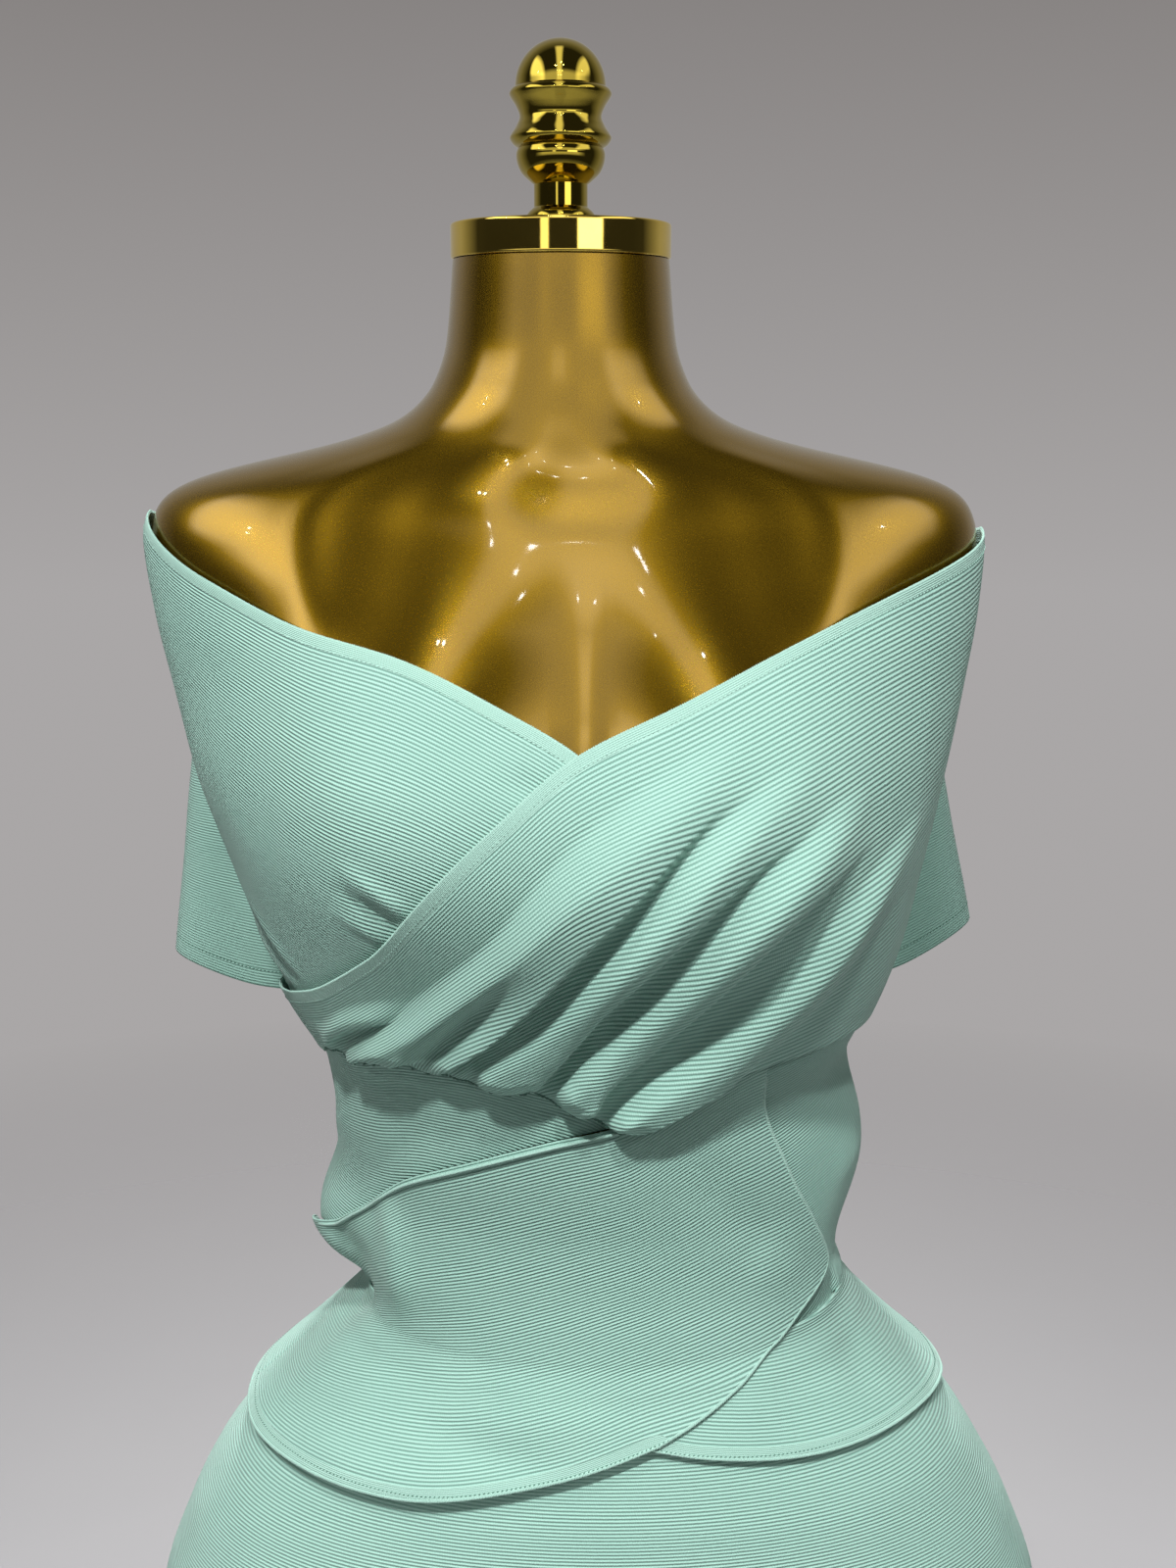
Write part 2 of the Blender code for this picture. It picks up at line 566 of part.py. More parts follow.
def make_peplum(surface):
    columns, rows = 14, 5
    hem = curve_points(PEPLUM_HEM, columns)
    top = straight((-30, WAIST), (SIDE_SEAM, WAIST), columns)
    grid = patch(hem, top, curve_points(PEPLUM_LEFT, rows), straight(hem[-1], top[-1], rows))
    grid[..., 0] = np.minimum(grid[..., 0], SIDE_SEAM - SEAM_ANGLE)
    worn_sheet("peplum_under", grid, layer(1) + peplum_flare(grid[..., 1]), surface)
    for name, way in (("peplum_back_right", 1), ("peplum_back_left", -1)):
        hem = curve_points(PEPLUM_BACK_HEM, 12)
        if way < 0:
            hem[:, 1] -= PEPLUM_BACK_DROP * (1 - ramp(hem[:, 0], 90, 150))
        top = straight((90, WAIST), (180, WAIST), 12)
        grid = patch(hem, top, straight(hem[0], top[0], rows), straight(hem[-1], top[-1], rows))
        grid[..., 0] = np.clip(grid[..., 0], SIDE_SEAM + SEAM_ANGLE, 180 - SEAM_ANGLE)
        grid[..., 0] *= way
        worn_sheet(name, grid, layer(1) + peplum_flare(grid[..., 1]), surface)


def make_back(surface):
    columns = 12
    for side_name, way in (("right", 1), ("left", -1)):
        angles = np.linspace(SIDE_SEAM + SEAM_ANGLE, 180 - SEAM_ANGLE, columns + 1)
        worn_sheet("bodice_back_" + side_name, level_grid(way * angles, BACK_LEVELS), layer(0), surface)

        top = curve_points(NECKLINE_BACK, columns)
        if way < 0:
            top[:, 1] += BAND_RISE * (1 - ramp(top[:, 0], 90, 150))
        low = straight((90, BAND_FOOT + SEAM), (180, BAND_FOOT + SEAM), columns)
        grid = patch(low, top, straight(low[0], top[0], 10), straight(low[-1], top[-1], 10))
        grid[..., 0] = np.clip(grid[..., 0], SIDE_SEAM + SEAM_ANGLE, 180 - SEAM_ANGLE)
        grid[..., 0] *= way
        worn_sheet("back_band_" + side_name, grid, layer(0), surface)


def make_skirt(surface):
    panels = (("skirt_front", -SIDE_SEAM, SIDE_SEAM, 18),
              ("skirt_back_right", SIDE_SEAM, 180, 9),
              ("skirt_back_left", -180, -SIDE_SEAM, 9))
    for name, first, last, columns in panels:
        angles = np.linspace(first + SEAM_ANGLE, last - SEAM_ANGLE, columns + 1)
        worn_sheet(name, level_grid(angles, SKIRT_LEVELS), layer(0), surface)


# ---- bow -----------------------------------------------------------------------------------
def back_depth():
    """The cloth's rearmost point behind the knot."""
    levels = np.linspace(BOW_HEIGHT - KNOT_TALL / 2, BOW_HEIGHT + KNOT_TALL / 2, 9)
    return float(figure("back", levels).max()) + layer(0) + CLOTH


def loop_path(reach, steps):
    """Plan of a loop from the knot out along the back, round its fold and in again: x, y."""
    near = back_depth() - KNOT_SINK + 2 * CLOTH + SEAM
    bend = LOOP_GAP / 2
    start, end = LOOP_ROOT, reach - LOOP_FOLD
    front_leaf = []
    for i in range(steps + 1):
        t = i / steps
        front_leaf.append((start + (end - start) * t, near + LOOP_BULGE * math.sin(math.pi * t)))
    end_x, end_y = front_leaf[-1]
    fold = []
    for angle in (-50, 0, 50):
        turn = math.radians(angle)
        fold.append((end_x + 0.006 + 0.013 * math.cos(turn), end_y + bend + bend * math.sin(turn)))
    rear_leaf = []
    for x, y in reversed(front_leaf):
        open_here = 0.42 + 0.58 * ramp(x, 0.0, 0.09)
        rear_leaf.append((x, y + LOOP_GAP * open_here))
    return np.array(front_leaf + fold + rear_leaf)


def make_bow(surface):
    rows = 5
    along = LOOP_SHAPE["along"]
    for row in LOOPS:
        loop = dict(zip(LOOP_COLUMNS, row))
        path = loop_path(loop["reach"], 7)
        forward = np.gradient(path, axis=0)
        outward = np.stack([forward[:, 1], -forward[:, 0]], axis=1)
        outward = outward / np.linalg.norm(outward, axis=1, keepdims=True)
        share = np.clip(path[:, 0] / loop["reach"], 0, 1)
        tall = smooth_read(share, along, LOOP_SHAPE["tall"])
        middle = BOW_HEIGHT + loop["rise"] * smooth_read(share, along, LOOP_SHAPE["rise"])
        up = np.linspace(-0.5, 0.5, rows + 1)[:, None]
        grids = []
        for shift in (0.0, CLOTH):
            plan = path + outward * shift
            across = plan[:, 0] - loop["lean"] * (up + 0.5) * share ** 2
            place = np.broadcast_arrays(across * loop["way"] - BOW_SIDE, plan[:, 1], middle + tall * up)
            grids.append(np.stack(place, axis=-1))
        thick_sheet(loop["name"], grids[0], grids[1], surface)
    make_knot(surface)


def knot_ring(grow):
    """Rounded outline of the knot seen from the side: y and z."""
    corner = KNOT_CORNER + grow
    deep, tall = KNOT_DEEP / 2 + grow, KNOT_TALL / 2 + grow
    points = []
    for quarter, (sy, sz) in enumerate(((1, 1), (-1, 1), (-1, -1), (1, -1))):
        for step in range(4):
            turn = math.radians(90 * quarter + 30 * step)
            points.append((sy * (deep - corner) + corner * math.cos(turn),
                           sz * (tall - corner) + corner * math.sin(turn)))
    return points


def make_knot(surface):
    near = back_depth() - KNOT_SINK
    centre_y = near + CLOTH + KNOT_DEEP / 2
    inner, outer = knot_ring(0.0), knot_ring(CLOTH)
    stations = (-0.5, -0.25, 0.0, 0.25, 0.5)
    count = len(inner)
    vertices = []
    for ring in (inner, outer):
        for station in stations:
            for y, z in ring:
                vertices.append((station * KNOT_WIDTH - BOW_SIDE, centre_y + y, BOW_HEIGHT + z))
    faces = []
    far = count * len(stations)
    for s in range(len(stations) - 1):
        for k in range(count):
            a, b = s * count + k, s * count + (k + 1) % count
            faces.append((a + far, b + far, b + far + count, a + far + count))
            faces.append((a, a + count, b + count, b))
    for s in (0, len(stations) - 1):
        for k in range(count):
            a, b = s * count + k, s * count + (k + 1) % count
            faces.append((a, b, b + far, a + far))
    add_object("bow_knot", vertices, faces, surface)


def main():
    clear_scene()
    plated = material("gold_plate", GOLD_PLATE, 0.06, 1.0)
    painted = material("gold_paint", GOLD_PAINT, 0.28, 0.85)
    knit = material("mint_knit", MINT, 0.75, 0.0)
    edge_knit = material("mint_edge", MINT_SHADE, 0.75, 0.0)
    make_stand(plated)
    make_form(painted)
    make_neck_cap(plated)
    make_under_wrap(knit)
    make_top_wrap(knit)
    make_midriff(knit)
    make_sash(knit, edge_knit)
    make_peplum(knit)
    make_back(knit)
    make_skirt(knit)
    make_bow(knit)


main()
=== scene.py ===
import math

import bmesh
import bpy
import numpy as np
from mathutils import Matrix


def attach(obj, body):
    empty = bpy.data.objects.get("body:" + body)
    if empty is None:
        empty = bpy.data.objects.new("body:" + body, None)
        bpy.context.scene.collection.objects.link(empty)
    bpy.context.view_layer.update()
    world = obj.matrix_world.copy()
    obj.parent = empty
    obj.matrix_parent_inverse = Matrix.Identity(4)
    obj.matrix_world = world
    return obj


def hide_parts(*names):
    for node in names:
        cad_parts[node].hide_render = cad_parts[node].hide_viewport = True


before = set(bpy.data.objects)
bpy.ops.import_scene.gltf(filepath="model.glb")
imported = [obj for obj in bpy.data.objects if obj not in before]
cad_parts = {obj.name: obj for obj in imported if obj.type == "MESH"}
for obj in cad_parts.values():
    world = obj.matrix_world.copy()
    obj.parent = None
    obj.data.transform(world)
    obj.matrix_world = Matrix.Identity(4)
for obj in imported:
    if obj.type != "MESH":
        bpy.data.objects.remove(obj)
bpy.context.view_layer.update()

# The figure under the dress: one row for each level, all in metres.
figureColumns = ("height", "halfWidth", "front", "back", "frontSquare", "backSquare", "sway", "underarm")
figureRows = (
    (0.470, 0.1870, 0.0980, 0.1040, 0.06, 0.06, 0.000, 0.000),
    (0.600, 0.2050, 0.1070, 0.1220, 0.05, 0.05, 0.000, 0.000),
    (0.720, 0.2210, 0.1150, 0.1400, 0.04, 0.04, 0.000, 0.000),
    (0.800, 0.2280, 0.1190, 0.1490, 0.03, 0.03, 0.000, 0.000),
    (0.845, 0.2250, 0.1190, 0.1500, 0.03, 0.02, 0.000, 0.000),
    (0.890, 0.2100, 0.1170, 0.1440, 0.03, 0.02, 0.000, 0.000),
    (0.917, 0.1965, 0.1140, 0.1360, 0.03, 0.02, 0.000, 0.000),
    (0.943, 0.1790, 0.1100, 0.1250, 0.03, 0.02, 0.002, 0.000),
    (0.970, 0.1545, 0.1030, 0.1090, 0.03, 0.02, 0.003, 0.000),
    (0.990, 0.1370, 0.0970, 0.0960, 0.03, 0.02, 0.003, 0.000),
    (1.005, 0.1240, 0.0920, 0.0870, 0.03, 0.02, 0.003, 0.000),
    (1.020, 0.1150, 0.0880, 0.0800, 0.03, 0.02, 0.002, 0.000),
    (1.045, 0.1130, 0.0860, 0.0770, 0.03, 0.02, 0.000, 0.000),
    (1.075, 0.1150, 0.0880, 0.0810, 0.03, 0.03, -0.002, 0.000),
    (1.105, 0.1185, 0.0920, 0.0870, 0.03, 0.03, -0.005, 0.000),
    (1.140, 0.1225, 0.0960, 0.0940, 0.02, 0.03, -0.008, 0.000),
    (1.170, 0.1370, 0.1000, 0.0990, 0.01, 0.03, -0.008, 0.005),
    (1.205, 0.1520, 0.1030, 0.1030, -0.01, 0.03, -0.009, 0.015),
    (1.240, 0.1630, 0.1050, 0.1060, -0.03, 0.03, -0.011, 0.024),
    (1.280, 0.1740, 0.1040, 0.1090, -0.04, 0.03, -0.014, 0.031),
    (1.320, 0.1820, 0.0980, 0.1100, -0.04, 0.03, -0.015, 0.024),
    (1.355, 0.1880, 0.0860, 0.1080, -0.02, 0.03, -0.016, 0.008),
    (1.385, 0.1905, 0.0730, 0.1010, 0.00, 0.02, -0.017, 0.000),
    (1.403, 0.1850, 0.0660, 0.0930, 0.00, 0.00, -0.0175, 0.000),
    (1.4145, 0.1745, 0.0610, 0.0830, -0.04, -0.04, -0.0165, 0.000),
    (1.4200, 0.1480, 0.0585, 0.0760, -0.04, -0.04, -0.018, 0.000),
    (1.4260, 0.0970, 0.0570, 0.0710, -0.02, -0.02, -0.018, 0.000),
    (1.4380, 0.0735, 0.0550, 0.0640, 0.00, 0.00, -0.018, 0.000),
    (1.4550, 0.0575, 0.0530, 0.0560, 0.00, 0.00, -0.018, 0.000),
    (1.4730, 0.0515, 0.0505, 0.0515, 0.00, 0.00, -0.018, 0.000),
    (1.5080, 0.0482, 0.0482, 0.0482, 0.00, 0.00, -0.018, 0.000),
)
figureTable = {name: np.array([row[i] for row in figureRows]) for i, name in enumerate(figureColumns)}
bust = {"across": 0.084, "height": 1.262, "out": 0.036, "width": 0.046, "above": 0.052, "below": 0.046}
bridgeDip = 0.12                         # how far worn cloth dips between the cups
standOffColumns = ("angle", "spread", "height", "above", "below", "out")
standOffs = (
    (-92.0, 24.0, 1.050, 0.026, 0.0125, 0.0240),
    (92.0, 24.0, 1.092, 0.030, 0.0260, 0.0135),
)

waist, hem, neckTop, formFoot = 1.022, 0.470, 1.508, 0.700
neckShift = -0.018
firstLayer, layerStep, wrapStep = 0.0012, 0.0025, 0.0036
clothThickness = 0.0012
pieceGap = 0.0003                        # between the pieces of the stand, and in the bow
seamRise, bandGap = 0.0006, 0.0007       # from the waist seam, and at each side of the band's lower seam
metresPerDegree = 0.0022                 # a mean for the whole figure
sideSeam, seamAngle = 90.0, 0.2          # seams stand at the sides, half their gap in degrees

# Edges of the dress: degrees from centre front, height.
necklineUnder = ((-90, 1.3965), (-84, 1.395), (-55, 1.370), (-38, 1.353), (-22, 1.342), (-7, 1.322),
                 (1.5, 1.307), (14, 1.272), (24, 1.236))
necklineTop = ((-90, 1.176), (-72, 1.182), (-52.5, 1.194), (-34, 1.221), (-22, 1.250), (-10, 1.279),
               (1.5, 1.306), (15.5, 1.325), (34, 1.349), (50, 1.366), (63, 1.376), (76, 1.383), (90, 1.389))
necklineBack = ((90, 1.389), (108, 1.384), (132, 1.366), (156, 1.347), (180, 1.340))
gatherSeam = ((8.5, 1.139), (1, 1.152), (-9.5, 1.159), (-25, 1.166), (-35, 1.165), (-51, 1.157),
              (-66, 1.152), (-90, 1.150))
wrapLowerEdge = ((8.5, 1.139), (28, 1.166), (51.5, 1.171), (90, 1.168))
sashPiped = ((-90, 1.0485), (-72.5, 1.060), (-61.5, 1.074), (-42.5, 1.101), (-25, 1.117), (-6.5, 1.131),
             (7.5, 1.139))
sashTop = sashPiped + ((20, 1.157), (34, 1.176))
sashRight = ((9, 0.984), (23.5, 1.000), (47.5, 1.029), (62, 1.047), (54, 1.073), (46.5, 1.098), (40, 1.130),
             (34, 1.176))
sashHem = ((-90, 0.949), (-76, 0.949), (-55, 0.951), (-32, 0.954), (-11.5, 0.967), (9, 0.984))
peplumLeft = ((8, 0.982), (-6, 0.990), (-20, 1.004), (-30, waist))
peplumHem = ((8, 0.982), (17, 0.977), (35, 0.971), (62, 0.967), (79, 0.962), (90, 0.958))
peplumBackHem = ((90, 0.958), (125, 0.952), (180, 0.948))
midriffTop = 1.180
bandFoot = 1.172


# The figure's surface
def smoothRead(at, knots, values):
    slope = np.diff(values) / np.diff(knots)          # monotone cubic through the values
    tangent = np.empty_like(values)
    tangent[0], tangent[-1] = slope[0], slope[-1]
    sameWay = slope[:-1] * slope[1:] > 0
    total = np.where(sameWay, slope[:-1] + slope[1:], 1.0)
    tangent[1:-1] = np.where(sameWay, 2 * slope[:-1] * slope[1:] / total, 0.0)
    at = np.clip(at, knots[0], knots[-1])
    i = np.clip(np.searchsorted(knots, at, side="right") - 1, 0, len(knots) - 2)
    step = knots[i + 1] - knots[i]
    t = (at - knots[i]) / step
    return ((1 + 2 * t) * (1 - t) ** 2 * values[i] + t * (1 - t) ** 2 * step * tangent[i]
            + t * t * (3 - 2 * t) * values[i + 1] + t * t * (t - 1) * step * tangent[i + 1])


def readPairs(at, pairs):
    table = np.array(pairs, float)
    return smoothRead(at, table[:, 0], table[:, 1])


def figure(column, height):
    return smoothRead(height, figureTable["height"], figureTable[column])


def bell(offset, width):
    return np.exp(-0.5 * (offset / width) ** 2)


def ramp(value, start, end):
    t = np.clip((value - start) / (end - start), 0.0, 1.0)
    return t * t * (3 - 2 * t)


def cups(across, height, bridged):
    reach = np.where(height > bust["height"], bust["above"], bust["below"])
    beside = np.abs(across) - bust["across"]
    share = bell(beside, bust["width"])
    if bridged:
        dip = 1 - bridgeDip * (1 - (across / bust["across"]) ** 2) ** 2
        share = np.where(beside < 0, dip, share)
    return bust["out"] * share * bell(height - bust["height"], reach)


def standOff(angle, height):
    total = 0.0
    for row in standOffs:
        bump = dict(zip(standOffColumns, row))
        reach = np.where(height > bump["height"], bump["above"], bump["below"])
        roundTheSide = (angle - bump["angle"] + 180.0) % 360.0 - 180.0
        swell = bell(height - bump["height"], reach) * bell(roundTheSide, bump["spread"])
        total = total + bump["out"] * swell
    return total


def figurePoint(angle, height, worn):
    turn = np.radians(angle)
    side, ahead = np.sin(turn), np.cos(turn)
    inFront = ahead > 0
    square = np.where(inFront, figure("frontSquare", height), figure("backSquare", height))
    fill = 1 + square * np.sin(2 * turn) ** 2
    depth = np.where(inFront, figure("front", height), figure("back", height))
    x = figure("halfWidth", height) * side * fill
    y = -depth * ahead * fill
    y = y - cups(x, height, worn) * np.clip(2.2 * ahead, 0, 1)
    if worn:
        out = standOff(angle, height)
        x = x + out * side
        y = y - out * ahead
    else:
        x = x - figure("underarm", height) * side * np.abs(side) ** 2
    return np.stack([x + figure("sway", height), y, height + 0 * turn], axis=-1)


def surfaceNormal(angle, height, worn):
    turnStep, riseStep = 0.6, 0.0008
    left = figurePoint(angle - turnStep, height, worn)
    right = figurePoint(angle + turnStep, height, worn)
    below = figurePoint(angle, height - riseStep, worn)
    above = figurePoint(angle, height + riseStep, worn)
    normal = np.cross(right - left, above - below)
    return normal / np.linalg.norm(normal, axis=-1, keepdims=True)


def clothPoint(angle, height, out):
    return figurePoint(angle, height, True) + surfaceNormal(angle, height, True) * np.asarray(out)[..., None]


def layer(number):
    return firstLayer + layerStep * number


# Grids over the figure
def runAlong(points):
    steps = np.diff(points * (metresPerDegree, 1.0), axis=0)
    return np.concatenate([[0.0], np.cumsum(np.linalg.norm(steps, axis=1))])


def curvePoints(points, places):
    knots = np.array(points, dtype=float)
    run = runAlong(knots)
    fine = np.linspace(0.0, run[-1], 900)
    dense = np.stack([smoothRead(fine, run, column) for column in knots.T], axis=1)
    length = runAlong(dense)
    at = np.asarray(places) * length[-1]
    return np.stack([np.interp(at, length, column) for column in dense.T], axis=1)


def straight(first, last, places):
    first, last = np.asarray(first, float), np.asarray(last, float)
    return first + (last - first) * np.asarray(places)[:, None]


def patch(lower, upper, start, end, along, up):
    along, up = along[None, :, None], up[:, None, None]
    ruled = (1 - up) * lower[None] + up * upper[None]
    swept = (1 - along) * start[:, None] + along * end[:, None]
    corners = ((1 - up) * ((1 - along) * lower[0] + along * lower[-1])
               + up * ((1 - along) * upper[0] + along * upper[-1]))
    return ruled + swept - corners


def evenly(count):
    return np.linspace(0.0, 1.0, count + 1)


def ruledPatch(lower, upper, along, up, start=None, end=None):
    # a patch whose ends are straight unless they are given
    start = straight(lower[0], upper[0], up) if start is None else start
    end = straight(lower[-1], upper[-1], up) if end is None else end
    return patch(lower, upper, start, end, along, up)


def firstOf(line):
    return [point[0] for point in line]


def secondOf(line):
    return [point[1] for point in line]


def moved(points, rise):
    return [(angle, height + rise) for angle, height in points]


def edgeDistance(grid, *sides):
    # each point's distance from the named finished edges of its grid
    place = grid * (metresPerDegree, 1.0)
    least = np.full(grid.shape[:2], 1.0)
    for side in sides:
        line = {"lower": place[0], "upper": place[-1], "start": place[:, 0], "end": place[:, -1]}[side]
        for point in line[::2]:
            least = np.minimum(least, np.linalg.norm(place - point, axis=2))
    return least


creaseColumns = ("start", "end", "high", "width", "bow")


def creases(table, angle, height):
    # each row is a soft ridge, or a trough where high is negative, from one (angle, height) to another
    total = 0.0 * angle
    x, z = angle * metresPerDegree, height
    for row in table:
        crease = dict(zip(creaseColumns, row))
        startX, startZ = crease["start"][0] * metresPerDegree, crease["start"][1]
        endX, endZ = crease["end"][0] * metresPerDegree, crease["end"][1]
        length = math.hypot(endX - startX, endZ - startZ)
        forwardX, forwardZ = (endX - startX) / length, (endZ - startZ) / length
        along = ((x - startX) * forwardX + (z - startZ) * forwardZ) / length
        across = (z - startZ) * forwardX - (x - startX) * forwardZ
        across = across - crease["bow"] * (1 - (2 * np.clip(along, 0, 1) - 1) ** 2)
        taper = ramp(along, -0.15, 0.35) * (1 - ramp(along, 0.55, 1.15))
        total = total + crease["high"] * taper * bell(across, crease["width"])
    return total


# Meshes and pieces
def addObject(name, data):
    made = bpy.data.objects.new(name, data)
    bpy.context.scene.collection.objects.link(made)
    return made


def addMesh(name, vertices, faces, material, uv=None, edgeBand=None, sharpAngle=50.0, recalculate=True):
    mesh = bpy.data.meshes.new(name)
    mesh.from_pydata(np.asarray(vertices, float).tolist(), [], faces)
    if uv is not None:
        corners = np.empty(len(mesh.loops), dtype=np.int32)
        mesh.loops.foreach_get("vertex_index", corners)
        layerUv = mesh.uv_layers.new(name="clothUv")
        layerUv.data.foreach_set("uv", np.asarray(uv, float)[corners].ravel())
    if edgeBand is not None:
        edge = mesh.attributes.new("edgeBand", "FLOAT", "POINT")
        edge.data.foreach_set("value", np.asarray(edgeBand, float))
    if recalculate:
        shell = bmesh.new()
        shell.from_mesh(mesh)
        bmesh.ops.recalc_face_normals(shell, faces=shell.faces)
        shell.to_mesh(mesh)
        shell.free()
    mesh.materials.append(material)
    mesh.shade_smooth()
    mesh.set_sharp_from_angle(angle=math.radians(sharpAngle))
    return addObject(name, mesh)


def gridNormals(points, outward):
    across = np.gradient(points, axis=1)
    upward = np.gradient(points, axis=0)
    normal = np.cross(across, upward)
    normal /= np.linalg.norm(normal, axis=-1, keepdims=True)
    facing = np.sign(np.mean(np.sum(normal * outward, axis=-1)))
    return normal * facing


def clothWall(name, outer, outward, uv, material, edgeBand=None):
    # one closed thin shell: the outer grid, the inner grid, and a rounded rim between them
    rows, columns = outer.shape[:2]
    normal = gridNormals(outer, outward)
    inner = outer - normal * clothThickness
    rim = [(0, c) for c in range(columns)]
    rim += [(r, columns - 1) for r in range(1, rows)]
    rim += [(rows - 1, c) for c in range(columns - 2, -1, -1)]
    rim += [(r, 0) for r in range(rows - 2, 0, -1)]
    rimRow = np.array([r for r, c in rim])
    rimColumn = np.array([c for r, c in rim])
    insideRow = np.clip(rimRow, 1, rows - 2)
    insideColumn = np.clip(rimColumn, 1, columns - 2)
    middle = (outer[rimRow, rimColumn] + inner[rimRow, rimColumn]) / 2
    away = outer[rimRow, rimColumn] - outer[insideRow, insideColumn]
    away /= np.linalg.norm(away, axis=1, keepdims=True)
    up = normal[rimRow, rimColumn]
    half = clothThickness / 2
    rings = []
    for turn in (45.0, 0.0, -45.0):
        out, lift = math.cos(math.radians(turn)), math.sin(math.radians(turn))
        rings.append(middle + away * half * out + up * half * lift)
    vertices = np.concatenate([outer.reshape(-1, 3), inner.reshape(-1, 3)] + rings)
    flatUv = np.asarray(uv, float).reshape(-1, 2)
    ringIndex = rimRow * columns + rimColumn
    allUv = np.concatenate([flatUv, flatUv] + [flatUv[ringIndex]] * 3)
    flatBand = np.ones(rows * columns) if edgeBand is None else np.asarray(edgeBand, float).reshape(-1)
    allBand = np.concatenate([flatBand, flatBand] + [flatBand[ringIndex]] * 3)
    far = rows * columns
    r, c = np.meshgrid(np.arange(rows - 1), np.arange(columns - 1), indexing="ij")
    a = (r * columns + c).ravel()
    front = np.stack([a, a + 1, a + columns + 1, a + columns], axis=1)
    back = front[:, ::-1] + far
    chains = [2 * far + k * len(rim) + np.arange(len(rim)) for k in range(3)]
    chains = [ringIndex] + chains + [ringIndex + far]
    sides = []
    for near, beyond in zip(chains[:-1], chains[1:]):
        sides.append(np.stack([near, beyond, np.roll(beyond, -1), np.roll(near, -1)], axis=1))
    faces = np.concatenate([front, back] + sides).tolist()
    piece = addMesh(name, vertices, faces, material, allUv, allBand)
    return {"piece": piece, "outer": outer, "normal": normal}


def wornCloth(name, node, grid, lift, acrossRibs, slide=None, edgeBand=None):
    # a sheet laid on the figure; lift is its inner face's distance, acrossRibs its pattern's second axis
    angle, height = grid[..., 0], grid[..., 1]
    at = height if slide is None else height + slide
    outer = clothPoint(angle, at, lift + clothThickness + 0 * angle)
    outward = surfaceNormal(angle, height, True)
    uv = np.stack([angle * metresPerDegree, acrossRibs + 0 * angle], axis=-1)
    wall = clothWall(name, outer, outward, uv, mintKnit, edgeBand)
    finishPiece(wall["piece"], "mint_knit", node)
    return wall


def runOf(points):
    # the length along a line of points, at each of them
    return np.concatenate([[0.0], np.cumsum(np.linalg.norm(np.diff(points, axis=0), axis=1))])


def ringFaces(rings, sides):
    # quads between closed rings of points, and a face over the first and the last
    faces = []
    for i in range(rings - 1):
        for k in range(sides):
            a, b = i * sides + k, i * sides + (k + 1) % sides
            faces.append((a, b, b + sides, a + sides))
    last = (rings - 1) * sides
    return faces + [tuple(range(sides)), tuple(last + k for k in range(sides))]


def finishPiece(piece, slotName, *nodes):
    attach(piece, "root")
    if nodes:
        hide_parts(*nodes)
    return piece


# Node helpers, then the materials
def give(tree, socket, value):
    # links another node's output to a socket, or sets the socket's value
    if isinstance(value, bpy.types.NodeSocket):
        tree.links.new(value, socket)
    elif socket.type == "RGBA":
        socket.default_value = (*value, 1.0)
    else:
        socket.default_value = value


def fill(tree, node, inputs):
    for name, value in inputs.items():
        give(tree, node.inputs[name], value)
    return node


def addNode(tree, kind, inputs=None, **settings):
    node = tree.nodes.new(kind)
    for name, value in settings.items():
        setattr(node, name, value)
    return fill(tree, node, inputs or {})


def mathNode(tree, operation, *values):
    return addNode(tree, "ShaderNodeMath", dict(enumerate(values)), operation=operation).outputs[0]


def limited(tree, value, slope, offset):
    line = mathNode(tree, "MULTIPLY_ADD", value, slope, offset)
    return mathNode(tree, "MINIMUM", mathNode(tree, "MAXIMUM", line, 0.0), 1.0)


def noiseValue(tree, vector, scale, detail=2.0, roughness=0.5):
    inputs = {"Vector": vector, "Scale": scale, "Detail": detail, "Roughness": roughness}
    return addNode(tree, "ShaderNodeTexNoise", inputs).outputs["Fac"]


def mixColour(tree, factor, first, second):
    node = addNode(tree, "ShaderNodeMix", data_type="RGBA")
    sockets = {socket.name: socket for socket in node.inputs if socket.enabled}
    for name, value in (("Factor", factor), ("A", first), ("B", second)):
        give(tree, sockets[name], value)
    return [socket for socket in node.outputs if socket.enabled][0]


def bumped(tree, height, strength, distance):
    inputs = {"Height": height, "Strength": strength, "Distance": distance}
    return addNode(tree, "ShaderNodeBump", inputs).outputs["Normal"]


def newMaterial(name):
    made = bpy.data.materials.new(name)
    made.use_nodes = True
    place = addNode(made.node_tree, "ShaderNodeTexCoord").outputs["Object"]
    return made, made.node_tree, place


def finishMaterial(made, inputs):
    fill(made.node_tree, made.node_tree.nodes["Principled BSDF"], inputs)
    return made


def groupSockets(tree, inputs, outputs):
    for name, kind, value in inputs:
        socket = tree.interface.new_socket(name=name, in_out="INPUT", socket_type="NodeSocket" + kind)
        if value is not None:
            socket.default_value = value
    for name, kind in outputs:
        tree.interface.new_socket(name=name, in_out="OUTPUT", socket_type="NodeSocket" + kind)
    return tree.nodes.new("NodeGroupInput").outputs, tree.nodes.new("NodeGroupOutput")


